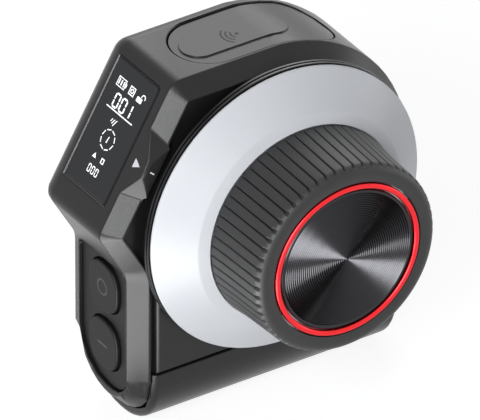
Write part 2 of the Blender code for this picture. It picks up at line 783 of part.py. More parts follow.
for target in (rear_cover, housing):
    cut(target, screws("cover screw hole", cover_places, "Y", body_depth, -1.0, cover_screw_length,
                       pin_fit, None, hub_point))
for i, place in enumerate(cover_places):
    screws("cover_screw_%d" % (i + 1), [place], "Y", body_depth, -1.0, cover_screw_length, 0.0,
           dark_steel, hub_point)

# Front plate: a tombstone with the bearing tube behind it
arch = [(plate_radius * math.cos(math.pi * i / turn_half),
         plate_radius * math.sin(math.pi * i / turn_half)) for i in range(turn_half + 1)]
plate_points = arch + [(-plate_radius, -plate_drop), (plate_radius, -plate_drop)]
front_plate = prism("front_plate", plate_points, "Y", plate_thickness, 0.0, plate_grey, hub_point,
                    plate_chamfer)
add(front_plate, rod("bearing tube", tube_radius, plate_thickness / 2.0, tube_end, None, hub_point,
                     steps=hidden_steps))
cut(front_plate, rod("bearing bore", tube_bore, bearing_start - gap, tube_end + overrun, None,
                     hub_point, steps=hidden_steps))
cut(front_plate, rod("neck opening", lip_opening_radius, -overrun, bearing_start, None, hub_point,
                     steps=hidden_steps))
slot_half = stop_travel + stop_slack + stop_pin_radius / stop_circle
slot_reach = stop_pin_radius + pin_fit
slot_angles = [math.pi / 2.0 + slot_half * (2.0 * i / slot_steps - 1.0)
               for i in range(slot_steps + 1)]
slot = [((stop_circle + slot_reach) * math.cos(a), (stop_circle + slot_reach) * math.sin(a))
        for a in slot_angles]
slot += [((stop_circle - slot_reach) * math.cos(a), (stop_circle - slot_reach) * math.sin(a))
         for a in reversed(slot_angles)]
cut(front_plate, prism("stop slot", slot, "Y", -overrun, plate_thickness + overrun, None, hub_point))
plate_places = [(plate_screw_circle * math.cos(a), plate_screw_circle * math.sin(a))
                for a in (math.pi / 2.0, math.pi * 7.0 / 6.0, math.pi * 11.0 / 6.0)]
for target in (front_plate, housing):
    cut(target, screws("plate screw hole", plate_places, "Y", 0.0, 1.0, plate_screw_length, pin_fit,
                       None, hub_point))
for i, place in enumerate(plate_places):
    screws("plate_screw_%d" % (i + 1), [place], "Y", 0.0, 1.0, plate_screw_length, 0.0, dark_steel,
           hub_point)

# Two equal bearings in the tube
race = [(bearing_bore_radius, 0.0), (bearing_bore_radius + race_ring, 0.0),
        (bearing_bore_radius + race_ring, race_step), (bearing_radius - race_ring, race_step),
        (bearing_radius - race_ring, 0.0), (bearing_radius, 0.0)]
race += [(r, bearing_width - y) for r, y in reversed(race)]
for bearing_name, start in (("front_bearing", bearing_start),
                            ("rear_bearing", tube_end - gap - bearing_width)):
    turned(bearing_name, [(r, y + start) for r, y in race], steel, hub_point, small_steps)

# Bottom shell: one bent section along X, its long outer edges rounded
bow_middle = (rim_setback + front_foot_radius, -(keel_drop - front_foot_radius))
stern_middle = (body_depth - rear_foot_radius, -(keel_drop - rear_foot_radius))
shell_low = -axis_height
foot_middle = (shell_foot_radius, shell_low + shell_foot_radius)
rear_middle = (shell_rear_reach - shell_rear_radius, shell_low + shell_rear_radius)


def arc(middle, radius, start, end):
    return [(middle[0] + radius * math.cos(start + (end - start) * i / foot_steps),
             middle[1] + radius * math.sin(start + (end - start) * i / foot_steps))
            for i in range(foot_steps + 1)]


def shell_section(x, inset):
    rear_angle = -math.asin((rear_middle[1] + shell_rear_drop) / (shell_rear_radius - inset))
    outline = [(inset, -shell_top_drop)]
    outline += arc(foot_middle, shell_foot_radius - inset, math.pi, 1.5 * math.pi)
    outline += arc(rear_middle, shell_rear_radius - inset, 1.5 * math.pi, math.tau + rear_angle)
    bow = front_foot_radius + gap
    stern = rear_foot_radius + gap
    front_inner = front_floor - gap
    bow_angle = math.pi + math.acos((bow_middle[0] - front_inner) / bow)
    stern_angle = math.tau - math.asin((stern_middle[1] + shell_rear_drop) / stern)
    outline += arc(stern_middle, stern, stern_angle, 1.5 * math.pi)
    outline += arc(bow_middle, bow, 1.5 * math.pi, bow_angle)
    outline.append((front_inner, -shell_top_drop))
    return [(x, y, z) for y, z in outline]


sections = []
for i in range(corner_steps + 1):
    bend = math.pi / 2.0 * i / corner_steps
    sections.append((shell_half_width - shell_edge_round * (1.0 - math.cos(bend)),
                     shell_edge_round * (1.0 - math.sin(bend))))
shell_rings = [shell_section(-x, inset) for x, inset in sections]
shell_rings += [shell_section(x, inset) for x, inset in reversed(sections)]
bottom_shell = skin("bottom_shell", shell_rings, shell_grey, hub_point)
shell_places = [(-shell_screw_spread, shell_screw_depth), (shell_screw_spread, shell_screw_depth)]
for target in (bottom_shell, housing):
    cut(target, screws("shell screw hole", shell_places, "Z", shell_low + shell_screw_sink, 1.0,
                       shell_screw_length, pin_fit, None, hub_point))
for i, place in enumerate(shell_places):
    screws("shell_screw_%d" % (i + 1), [place], "Z", shell_low + shell_screw_sink, 1.0,
           shell_screw_length, 0.0, dark_steel, hub_point)

# Main board with the angle sensor, seen from behind as an L
board_plan = [(-board_left, -board_drop), (board_right, -board_drop),
              (board_right, -board_step_drop), (board_shoulder, -board_step_drop),
              (board_shoulder, board_top), (-board_left, board_top)]
prism("main_board", board_plan, "Y", board_front, board_back, board_green, hub_point)
chip_rear = board_front - gap
box("encoder_chip", (-chip_side / 2.0, chip_rear - chip_thickness, -chip_side / 2.0),
    (chip_side / 2.0, chip_rear, chip_side / 2.0), sensor_black, hub_point)

# Cell across the bottom in an open-fronted holder
holder_rear = board_front - gap
cell_depth = holder_rear - holder_wall - gap - cell_radius
cell_point = (0.0, cell_depth, axis_height - cell_drop)
holder_half = cell_length / 2.0 + cell_cap + gap + holder_wall
holder_reach = cell_radius + gap + holder_wall
holder = box("battery_holder", (-holder_half, -holder_front, -holder_reach),
             (holder_half, holder_rear - cell_depth, holder_reach), black_plastic, cell_point)
trough_half = holder_half - holder_wall
cut(holder, rod("trough", cell_radius + gap, -trough_half, trough_half, None, cell_point, "X",
                hidden_steps))
cut(holder, box("trough mouth", (-trough_half, -holder_front - overrun, -cell_radius - gap),
                (trough_half, 0.0, cell_radius + gap), None, cell_point))
cell = turned("battery_cell", [(0.0, -cell_length / 2.0), (cell_radius, -cell_length / 2.0),
                               (cell_radius, cell_length / 2.0), (cell_cap_radius, cell_length / 2.0),
                               (cell_cap_radius, cell_length / 2.0 + cell_cap),
                               (0.0, cell_length / 2.0 + cell_cap)], cell_wrap, cell_point,
              hidden_steps)
cell.rotation_euler = (0.0, 0.0, -math.pi / 2.0)

# Charging port let into the right side
port_middle = (0.0, board_front - gap - port_height / 2.0, axis_height - port_drop)
port_plan = rectangle(port_height, port_width, port_corner)
port_hole = rectangle(port_height + 2 * gap, port_width + 2 * gap, port_corner + gap)
cut(housing, prism("port opening", port_hole, "X", crown_radius - wall - overrun,
                   crown_radius + overrun, None, port_middle))
port = prism("usb_port", port_plan, "X", port_reach - port_length, port_reach, steel, port_middle)
mouth = rectangle(port_height - 2 * port_wall, port_width - 2 * port_wall, port_corner - port_wall)
cut(port, prism("port mouth", mouth, "X", port_reach - port_length + port_wall,
                port_reach + overrun, None, port_middle))
half_tongue = port_tongue / 2.0
half_tongue_width = port_width / 2.0 - port_wall - port_tongue
add(port, box("port tongue", (port_reach - port_length + port_wall / 2.0, -half_tongue,
                              -half_tongue_width),
              (port_reach - port_tongue_setback, half_tongue, half_tongue_width), None, port_middle))

# Wheel: shaft, hub, carrier disc, marking ring, ribbed tyre, red ring and cap
shaft_front = -hub_web_reach + gap
groove_start = tube_end - gap
groove_end = groove_start + clip_thickness + 2 * gap
shaft = turned("wheel_shaft", [(0.0, shaft_front), (shaft_radius, shaft_front),
                               (shaft_radius, groove_start),
                               (shaft_radius - shaft_groove, groove_start),
                               (shaft_radius - shaft_groove, groove_end),
                               (shaft_radius, groove_end), (shaft_radius, shaft_end),
                               (0.0, shaft_end)], steel, hub_point, small_steps)
screw_rear = -hub_web_reach - hub_web - gap + hub_screw_length
cut(shaft, rod("shaft thread", hub_screw_radius + pin_fit, shaft_front - overrun, screw_rear + gap,
               None, hub_point))
clip = turned("retaining_clip", [(shaft_radius - shaft_groove + gap, groove_start + gap),
                                 (clip_radius, groove_start + gap),
                                 (clip_radius, groove_start + gap + clip_thickness),
                                 (shaft_radius - shaft_groove + gap,
                                  groove_start + gap + clip_thickness)],
              dark_steel, hub_point, small_steps)
cut(clip, box("clip gap", (-magnet_radius / 2.0, groove_start, -clip_radius - overrun),
              (magnet_radius / 2.0, shaft_end, 0.0), None, hub_point))
rod("encoder_magnet", magnet_radius, shaft_end + gap, shaft_end + gap + magnet_thickness, steel,
    hub_point)

web_rear, web_front = -hub_web_reach, -hub_web_reach - hub_web
carrier_rear = -wheel_gap
carrier_front = carrier_rear - carrier_thickness
hub_rear = carrier_front - gap
neck_rear = bearing_start - gap
neck_bore = shaft_radius + gap
hub_inner = hub_radius - hub_rim_wall
turned("wheel_hub", [(neck_bore, neck_rear), (hub_neck_radius, neck_rear), (hub_neck_radius, hub_rear),
                     (hub_boss_radius, hub_rear), (hub_boss_radius, hub_rear - hub_back_depth),
                     (hub_inner, hub_rear - hub_back_depth), (hub_inner, hub_rear),
                     (hub_flange_radius, hub_rear), (hub_flange_radius, -hub_flange_reach),
                     (hub_radius, -hub_flange_reach), (hub_radius, -hub_reach),
                     (hub_pocket_radius, -hub_reach), (hub_pocket_radius, web_front),
                     (hub_screw_radius + pin_fit, web_front), (hub_screw_radius + pin_fit, web_rear),
                     (neck_bore, web_rear)], aluminium, hub_point, hidden_steps)
head_rear = web_front - gap
turned("hub_screw", [(0.0, head_rear - hub_screw_head),
                     (hub_screw_head_radius, head_rear - hub_screw_head),
                     (hub_screw_head_radius, head_rear), (hub_screw_radius, head_rear),
                     (hub_screw_radius, screw_rear), (0.0, screw_rear)], dark_steel, hub_point,
       small_steps)
groove_middle = (carrier_rear + carrier_front) / 2.0
half_groove = carrier_groove_width / 2.0
carrier = turned("ring_carrier", [(hub_neck_radius + gap, carrier_rear), (carrier_radius, carrier_rear),
                                  (carrier_radius, groove_middle + half_groove),
                                  (carrier_radius - carrier_groove, groove_middle + half_groove),
                                  (carrier_radius - carrier_groove, groove_middle - half_groove),
                                  (carrier_radius, groove_middle - half_groove),
                                  (carrier_radius, carrier_front),
                                  (hub_neck_radius + gap, carrier_front)],
                 black_plastic, hub_point, wheel_steps)
pin_point = (0.0, 0.0, axis_height + stop_circle)
cut(carrier, rod("pin hole", stop_pin_radius + pin_fit, carrier_front - overrun,
                 carrier_rear + overrun, None, pin_point))
rod("stop_pin", stop_pin_radius, carrier_front, stop_pin_depth, steel, pin_point)

slope = (ring_radius - ring_crease_radius) / (ring_crease_reach - ring_rim_reach)
bore = hub_flange_radius + gap
under = ring_crease_reach - ring_wall
turned("marking_ring", [(ring_radius, hub_rear), (ring_radius, -ring_rim_reach),
                        (ring_crease_radius, -ring_crease_reach),
                        (ring_collar_radius, -ring_crease_reach),
                        (ring_collar_radius, -ring_crease_reach - ring_collar_height),
                        (bore, -ring_crease_reach - ring_collar_height), (bore, -under),
                        (ring_crease_radius - ring_wall / 2.0, -under),
                        (ring_crease_radius - ring_wall / 2.0 + slope * (under + hub_rear), hub_rear)],
       white_plastic, hub_point, wheel_steps)

grip_foot = -hub_flange_reach - gap


def grip_ring(radius, y, depth):
    """Ring of three points per rib: the bottom of a groove and the two edges of the flat."""
    points = []
    for i in range(rib_count):
        for share, r in ((0.0, radius - depth), (rib_groove_half_share, radius),
                         (1.0 - rib_groove_half_share, radius)):
            angle = math.tau * (i + share) / rib_count
            points.append((r * math.cos(angle), y, r * math.sin(angle)))
    return points


lip_middle = -grip_front_reach + grip_lip_radius
grip_rings = [grip_ring(grip_foot_radius, grip_foot, rib_groove),
              grip_ring(grip_front_radius, lip_middle, rib_groove)]
for i in range(1, lip_steps + 1):
    bend = math.pi / 2.0 * i / lip_steps
    fade = max(0.0, 1.0 - (i / (lip_steps - 1)) ** 2)
    grip_rings.append(grip_ring(grip_front_radius - grip_lip_radius * (1.0 - math.cos(bend)),
                                lip_middle - grip_lip_radius * math.sin(bend), rib_groove * fade))
grip = skin("rubber_grip", grip_rings, rubber, hub_point, 25.0)
cut(grip, turned("grip core", [(0.0, -grip_front_reach - overrun),
                               (grip_eye_radius, -grip_front_reach - overrun),
                               (grip_eye_radius, -hub_reach - gap), (hub_radius + gap, -hub_reach - gap),
                               (hub_radius + gap, grip_foot + overrun), (0.0, grip_foot + overrun)],
                 None, hub_point))

accent_rear = -hub_reach - gap
turned("accent_ring", [(accent_inner_radius, accent_rear), (accent_outer_radius, accent_rear),
                       (accent_outer_radius, -accent_reach + accent_round),
                       (accent_outer_radius - accent_round, -accent_reach),
                       (accent_inner_radius + accent_round, -accent_reach),
                       (accent_inner_radius, -accent_reach + accent_round)],
       red_metal, hub_point, wheel_steps)
cap_radius = accent_inner_radius - gap
turned("end_cap", [(0.0, -cap_reach), (cap_radius, -cap_reach), (cap_radius, -cap_reach + cap_thickness),
                   (cap_spigot_radius, -cap_reach + cap_thickness),
                   (cap_spigot_radius, -cap_reach + cap_thickness + cap_spigot),
                   (0.0, -cap_reach + cap_thickness + cap_spigot)], turned_black, hub_point, wheel_steps)

# Stand the middle of the underside over the origin
standing_depth = (foot_middle[0] + rear_middle[0]) / 2.0
for obj in bpy.data.objects:
    obj.location.y -= standing_depth
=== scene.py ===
# %% [markdown]
# # A wireless handwheel controller, dressed for a studio picture
#
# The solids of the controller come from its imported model: the housing, the front plate, the wheel
# and all that is inside. This lesson gives them their finishes, makes the fine pieces that solids
# of few faces leave out, and sets up a pale studio. Every length is in metres and Z is up. The
# wheel is at the front, towards -Y, and turns about an axis along Y.

import math

import bmesh
import bpy
from mathutils import Matrix, Vector


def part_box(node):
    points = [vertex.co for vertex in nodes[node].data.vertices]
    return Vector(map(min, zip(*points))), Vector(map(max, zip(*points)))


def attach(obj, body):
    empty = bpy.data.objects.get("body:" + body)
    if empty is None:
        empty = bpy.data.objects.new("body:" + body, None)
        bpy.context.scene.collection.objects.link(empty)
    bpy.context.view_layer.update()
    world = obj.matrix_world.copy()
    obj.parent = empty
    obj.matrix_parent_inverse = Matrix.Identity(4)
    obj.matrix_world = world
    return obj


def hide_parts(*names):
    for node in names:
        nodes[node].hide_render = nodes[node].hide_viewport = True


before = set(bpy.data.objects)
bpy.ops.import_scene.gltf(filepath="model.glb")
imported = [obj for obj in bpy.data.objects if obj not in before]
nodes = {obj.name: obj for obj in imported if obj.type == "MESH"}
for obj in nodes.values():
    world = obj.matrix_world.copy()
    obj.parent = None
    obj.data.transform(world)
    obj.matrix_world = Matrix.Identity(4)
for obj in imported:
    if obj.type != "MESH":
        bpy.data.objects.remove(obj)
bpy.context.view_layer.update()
bpy.ops.object.select_all(action="DESELECT")

# %% [markdown]
# ## Where things are
#
# Everything is placed from the solids themselves. The wheel's axis runs through the middle of the
# red ring, the front plate's face is the zero of all depths, and the display face leans back by 60
# degrees.

# %% Axis, face and slope
MM = 0.001
ring_low, ring_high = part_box("accent_ring")
AXIS = Vector(((ring_low.x + ring_high.x) / 2, 0.0, (ring_low.z + ring_high.z) / 2))
FACE_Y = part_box("front_plate")[0].y
SLOPE = math.radians(60.0)
print("axis height", round(AXIS.z, 5), "plate face at", round(FACE_Y, 5))


def at(x, y, z):
    """A point in millimetres from the wheel's axis and the front plate's face, in metres."""
    return Vector((AXIS.x + x * MM, FACE_Y + y * MM, AXIS.z + z * MM))


# %% [markdown]
# ## The camera
#
# The picture was taken from the left front and above, with a long lens, so that parallel lines
# stay almost parallel. The camera's three axes are written out: right, up, and back towards the
# lens. The frame is 480 by 420 pixels and one millimetre of the object covers 4.87 of them.

# %% Camera
PIXELS_WIDE, PIXELS_PER_MM = 480, 4.87
RIGHT = Vector((0.8387, -0.5446, 0.0))
BACK = Vector((-0.4568, -0.7034, 0.5446))
UP = BACK.cross(RIGHT)
LENS = 1400.0
SENSOR = 36.0
view_width = PIXELS_WIDE / PIXELS_PER_MM * MM
distance = LENS / SENSOR * view_width
aim = at(0.0, 13.62, -9.70)             # what stands in the middle of the picture
camera_data = bpy.data.cameras.new("camera")
camera_data.lens = LENS
camera_data.sensor_width = SENSOR
camera_data.clip_start = 0.1
camera_data.clip_end = 20.0
camera = bpy.data.objects.new("camera", camera_data)
bpy.context.scene.collection.objects.link(camera)
turn = Matrix((RIGHT.normalized(), UP.normalized(), BACK.normalized())).transposed()
camera.matrix_world = Matrix.Translation(aim + BACK.normalized() * distance) @ turn.to_4x4()
bpy.context.scene.camera = camera
print("camera stands", round(distance, 2), "m away")

# %% [markdown]
# ## Light and floor
#
# A product picture on white has one tall soft box on the left, a second one behind that draws
# light along the top and the rims, and a weak fill from the right. A small card lies on the floor
# before the left corner and shines up. It only shows in the gloss of the slanted rim, never to the
# camera itself. Little light comes from elsewhere, so the dark plastic shows its form in
# reflections. The backdrop looks white to the camera, and in polished faces too, but it lights the
# object only faintly.

# %% Nodes, and rays that show things
def put(tree, kind, links=(), **settings):
    """Add a node; settings name its properties or inputs, links are (output socket, input name)."""
    node = tree.nodes.new(kind)
    for key, value in settings.items():
        if hasattr(node, key):
            setattr(node, key, value)
        else:
            node.inputs[key.replace("_", " ")].default_value = value
    for source, target in links:
        tree.links.new(source, node.inputs[target])
    return node


def seeing(tree):
    """A socket that is one for rays that show a thing, straight on, through glass or in gloss."""
    rays = put(tree, "ShaderNodeLightPath")
    shown = rays.outputs["Is Camera Ray"]
    for kind in ("Is Transmission Ray", "Is Glossy Ray"):
        either = put(tree, "ShaderNodeMath", [(shown, 0), (rays.outputs[kind], 1)],
                     operation="MAXIMUM")
        shown = either.outputs[0]
    return shown


# %% World
scene = bpy.context.scene
scene.view_settings.view_transform = "Standard"
world = bpy.data.worlds.new("studio")
scene.world = world
world.use_nodes = True
tree = world.node_tree
tree.nodes.clear()
sky_dim = put(tree, "ShaderNodeBackground", Color=(0.93, 0.96, 1.0, 1.0), Strength=0.16)
sky_white = put(tree, "ShaderNodeBackground", Color=(1.0, 1.0, 1.0, 1.0))
sky_mix = put(tree, "ShaderNodeMixShader", [(seeing(tree), "Fac"), (sky_dim.outputs[0], 1),
                                            (sky_white.outputs[0], 2)])
put(tree, "ShaderNodeOutputWorld", [(sky_mix.outputs[0], "Surface")])
print("world nodes:", len(tree.nodes))

# %% Lamps
FAR = 0.85                              # metres from the object to the large lamps


def lamp(name, towards, distance, width, height, watts, colour=(1.0, 1.0, 1.0)):
    """A rectangular soft lamp in a direction from the object, turned towards it."""
    data = bpy.data.lights.new(name, "AREA")
    data.shape = "RECTANGLE"
    data.size, data.size_y = width, height
    data.energy = watts
    data.color = colour
    obj = bpy.data.objects.new(name, data)
    scene.collection.objects.link(obj)
    place = aim + Vector(towards).normalized() * distance
    obj.location = place
    obj.rotation_mode = "QUATERNION"
    obj.rotation_quaternion = (aim - place).to_track_quat("-Z", "Y")
    print(name, "at", tuple(round(v, 2) for v in place))
    return obj


lamp("left soft box", (-0.73, -0.61, 0.33), FAR, 0.21, 0.72, 6.6, (0.98, 0.99, 1.0))
lamp("back soft box", (0.457, 0.703, 0.56), FAR, 0.55, 0.5, 2.1)
to_card = at(-94.0, -38.0, -46.5) - aim             # a millimetre above the floor
card = lamp("low card", to_card, to_card.length, 0.09, 0.09, 0.19)
card.rotation_quaternion = (0.0, 1.0, 0.0, 0.0)     # half a turn, so that it shines straight up
card.visible_camera = False
card.visible_diffuse = False
lamp("right fill", (0.93, -0.34, -0.02), FAR, 0.5, 0.3, 1.5)

# %% [markdown]
# ## Helpers for finishes
#
# Colours are read off as sRGB hex values and turned into the linear values that shaders want. Most
# finishes here are plastics whose mould was spark-eroded: a fine, even grain that breaks up the
# gloss. The grain is drawn wider than the real hundredths of a millimetre, so that a picture can
# show it.

# %% Colours and plain finishes
def linear(code):
    """Linear colour from an sRGB hex code."""
    values = [int(code[i:i + 2], 16) / 255.0 for i in (1, 3, 5)]
    return [v / 12.92 if v <= 0.04045 else ((v + 0.055) / 1.055) ** 2.4 for v in values] + [1.0]


def finish_of(name, slot_colour, roughness, metallic=0.0, **sockets):
    """A Principled material with its plain values; returns material, tree and shader."""
    mat = bpy.data.materials.new(name)
    mat.use_nodes = True
    shader = mat.node_tree.nodes["Principled BSDF"]
    shader.inputs["Base Color"].default_value = linear(slot_colour)
    shader.inputs["Roughness"].default_value = roughness
    shader.inputs["Metallic"].default_value = metallic
    for key, value in sockets.items():
        shader.inputs[key.replace("_", " ")].default_value = value
    mat.diffuse_color = linear(slot_colour)
    return mat, mat.node_tree, shader


# %% Grain
SMOOTHER, ROUGHER = 0.05, 0.08          # how far the grain takes the roughness down and up
PATCH = 60.0                            # one patch of even colour is this many grains wide


def grained(name, dark, light, roughness, grain_mm, depth, **sockets):
    """Plastic or rubber with a fine grain: colour and roughness vary a little, the bump follows."""
    mat, tree, shader = finish_of(name, dark, roughness, **sockets)
    where = put(tree, "ShaderNodeTexCoord")
    fine = put(tree, "ShaderNodeTexNoise", [(where.outputs["Object"], "Vector")],
               Scale=1.0 / (grain_mm * MM), Detail=2.0)
    broad = put(tree, "ShaderNodeTexNoise", [(where.outputs["Object"], "Vector")],
                Scale=1.0 / (PATCH * grain_mm * MM), Detail=1.0)
    tint = put(tree, "ShaderNodeMix", [(broad.outputs["Fac"], "Factor")], data_type="RGBA")
    tint.inputs["A"].default_value = linear(dark)
    tint.inputs["B"].default_value = linear(light)
    gloss = put(tree, "ShaderNodeMapRange", [(fine.outputs["Fac"], "Value")])
    gloss.inputs["To Min"].default_value = roughness - SMOOTHER
    gloss.inputs["To Max"].default_value = roughness + ROUGHER
    bump = put(tree, "ShaderNodeBump", [(fine.outputs["Fac"], "Height")], Strength=depth,
               Distance=0.05 * MM)
    tree.links.new(tint.outputs["Result"], shader.inputs["Base Color"])
    tree.links.new(gloss.outputs["Result"], shader.inputs["Roughness"])
    tree.links.new(bump.outputs["Normal"], shader.inputs["Normal"])
    return mat


# %% [markdown]
# ## Finishes of the housing
#
# The housing, the bottom shell and the back are injection-moulded ABS in a dark grey, with a fine
# matt grain. The antenna cover is a smoother and paler moulding, of plastic too, so that radio
# waves pass. The front plate is satin, and the silicone keys are dull and darker still. The
# window's rim and the wheel's carrier come from polished moulds and draw thin sharp lines of
# light. The grip is rubber, the marking ring white POM, which is even and matt enough to take
# pencil.

# %% Plastics and rubbers
shell_abs = grained("moulded ABS dark grey", "#161617", "#1b1b1c", 0.30, 0.26, 0.45,
                    Specular_IOR_Level=0.34)
cover_abs = grained("smooth ABS antenna cover", "#232324", "#282829", 0.29, 0.18, 0.12,
                    Specular_IOR_Level=0.34)
plate_abs = grained("satin ABS front plate", "#19191a", "#1d1d1e", 0.36, 0.20, 0.18,
                    Specular_IOR_Level=0.34)
rim_abs = grained("polished ABS rim", "#3a3a3b", "#404041", 0.22, 0.30, 0.03)
gloss_abs = grained("polished ABS ring carrier", "#131314", "#19191a", 0.22, 0.30, 0.05)
key_silicone = grained("moulded silicone keys", "#101011", "#141415", 0.42, 0.25, 0.12,
                       Specular_IOR_Level=0.2)
tread_rubber = grained("moulded wheel rubber", "#1f1f20", "#252526", 0.46, 0.16, 0.30)
white_pom = grained("white writable POM", "#d2d4d9", "#d9dbdf", 0.42, 0.20, 0.06)
print("plastics ready")

# %% [markdown]
# ## Metals
#
# The red ring is anodised aluminium: a dye under a clear hard oxide, so it is metal that shines in
# its own colour. The cap is turned aluminium dyed black. The tool leaves rings, and these pull the
# reflection of the lamps into a bow tie. Bearings, shaft, screws and bush are plain turned metals.

# %% Metal finishes
RING_AT_ONE = 0.314                     # width of one ring of the wave texture at scale one


def turned_metal(name, colour, roughness, ring_mm, depth):
    """Metal turned on a lathe: rings about the wheel's axis in the bump."""
    mat, tree, shader = finish_of(name, colour, roughness, 1.0)
    where = put(tree, "ShaderNodeTexCoord")
    centre = put(tree, "ShaderNodeMapping", [(where.outputs["Object"], "Vector")])
    centre.inputs["Location"].default_value = -AXIS
    rings = put(tree, "ShaderNodeTexWave", [(centre.outputs["Vector"], "Vector")],
                wave_type="RINGS", rings_direction="Y", Scale=RING_AT_ONE / (ring_mm * MM))
    bump = put(tree, "ShaderNodeBump", [(rings.outputs["Fac"], "Height")], Strength=depth,
               Distance=0.02 * MM)
    tree.links.new(bump.outputs["Normal"], shader.inputs["Normal"])
    return mat


red_anodised = turned_metal("anodised aluminium red", "#f0343a", 0.30, 0.20, 0.2)
black_turned = turned_metal("turned aluminium black", "#39393b", 0.21, 0.12, 0.05)
bright_turned = turned_metal("turned aluminium bright", "#cfd0d2", 0.28, 0.15, 0.3)
steel_ground = turned_metal("ground steel", "#c4c5c8", 0.25, 0.10, 0.2)
steel_black = turned_metal("blackened steel screws", "#2b2b2c", 0.38, 0.10, 0.3)
brass_turned = turned_metal("turned brass bush", "#c8a45a", 0.30, 0.12, 0.3)

# %% [markdown]
# ## Glass and the pieces inside
#
# The window is smoked glass over a black mask: from outside it is a polished near-black face.
# Inside pieces are seldom seen, but they get what they are made of: green solder mask, a printed
# sleeve.

# %% Glass, boards and packages
window_glass = grained("smoked display glass", "#1c1d21", "#1f2025", 0.14, 0.50, 0.0,
                       Specular_IOR_Level=0.3)
board_mask = grained("green solder mask", "#164a2c", "#1b5534", 0.35, 0.40, 0.3)
cell_sleeve = grained("shrink sleeve on the cell", "#2b4f86", "#2f5691", 0.35, 0.50, 0.1)
chip_epoxy = grained("moulded epoxy package", "#161617", "#1d1d1e", 0.55, 0.10, 0.3)
black_abs = grained("black ABS holder", "#161616", "#1b1b1c", 0.45, 0.25, 0.3)
print("materials:", len(bpy.data.materials))

# %% [markdown]
# ## Light, ink and painted shade
#
# The lit bars of the display glow a little, so they stay white where no lamp reaches. Printed marks
# are matt ink, opaque and a little uneven where the silicone pad has pressed it on. The near-black
# lines of the wave symbol are painted shade: they stand in for the shade inside engraved grooves.
# The signs on the keys are moulded with them, only a shade paler.

# %% Display light, printed ink and painted groove shade
lit_white = grained("lit display bars", "#f2f4f8", "#ffffff", 0.45, 0.30, 0.0,
                    Emission_Color=linear("#f4f6fa"), Emission_Strength=0.55)
white_print = grained("pad-printed white ink", "#dfe0e2", "#ececee", 0.55, 0.12, 0.10)
# Painted shade: near-black lines that stand in for the shade inside engraved grooves, not ink.
painted_groove_shade = grained("painted shade of engraved lines", "#08080a", "#0d0d0e", 0.60, 0.12, 0.10)
key_print = grained("raised signs on the keys", "#232324", "#29292a", 0.34, 0.12, 0.15)

# %% [markdown]
# ## Give every solid its finish
#
# A solid keeps its shape and only gets a new material in its slots.

# %% Assign by name
FINISHES = {
    shell_abs: ["main_housing", "bottom_shell", "rear_cover"],
    cover_abs: ["antenna_cover"], plate_abs: ["front_plate"], gloss_abs: ["ring_carrier"],
    key_silicone: ["keypad_mat", "upper_key", "lower_key"], tread_rubber: ["rubber_grip"],
    white_pom: ["marking_ring"], red_anodised: ["accent_ring"], black_turned: ["end_cap"],
    bright_turned: ["wheel_hub"], brass_turned: ["mount_insert"], window_glass: ["display_window"],
    steel_ground: ["front_bearing", "rear_bearing", "wheel_shaft", "stop_pin", "encoder_magnet",
                   "usb_port"],
    steel_black: ["retaining_clip", "hub_screw"] + [n for n in nodes if "_screw_" in n],
    board_mask: ["main_board", "key_board", "antenna_patch"], cell_sleeve: ["battery_cell"],
    chip_epoxy: ["encoder_chip", "display_module", "upper_switch", "lower_switch"],
    black_abs: ["battery_holder"],
}
for mat, names in FINISHES.items():
    for name in names:
        mesh = nodes[name].data
        mesh.materials.clear()
        mesh.materials.append(mat)
bare = sorted(set(nodes) - {n for names in FINISHES.values() for n in names})
print("without a finish:", bare)

# %% [markdown]
# ## Tools for the fine pieces
#
# The solids carry every form, but their edges are knife-sharp and their rounds have few faces. A
# mould or a lathe leaves small rounds on every edge, and these catch the thin bright lines that
# make an object look real. The next helpers select by place, round the edges that have room for
# it, turn an outline about the wheel's axis, and soften a copy of a moulded solid.

# %% Selecting
NEAR = 0.05 * MM                        # a vertex this close to a place is meant by it


def only(obj):
    """Leave this object alone selected and active."""
    bpy.ops.object.select_all(action="DESELECT")
    obj.select_set(True)
    bpy.context.view_layer.objects.active = obj


def pick(obj, wanted):
    """In edit mode, select the vertices whose place passes a test."""
    bpy.ops.mesh.select_mode(type="VERT")
    bpy.ops.mesh.select_all(action="DESELECT")
    mesh = bmesh.from_edit_mesh(obj.data)
    for vert in mesh.verts:
        vert.select = wanted(vert.co)
    mesh.select_flush_mode()
    bmesh.update_edit_mesh(obj.data)


def off_axis(place):
    """How far a place lies from the wheel's axis."""
    return math.hypot(place.x - AXIS.x, place.z - AXIS.z)


# %% Rounding edges
NARROW, CROWD = math.radians(25.0), 5   # no round between edges this close, or among so many


def roundable(vert, sharp, width):
    """Whether the sharp edges that meet at a corner leave room for a round between them."""
    meeting = [edge for edge in vert.link_edges if edge in sharp]
    for face in vert.link_faces:
        here = [edge for edge in meeting if face in edge.link_faces]
        if len(here) == 2:
            first, second = ((edge.other_vert(vert).co - vert.co) for edge in here)
            if first.angle(second, 0.0) < NARROW:
                return False
    return len(meeting) < CROWD and all(edge.calc_length() > width for edge in meeting)


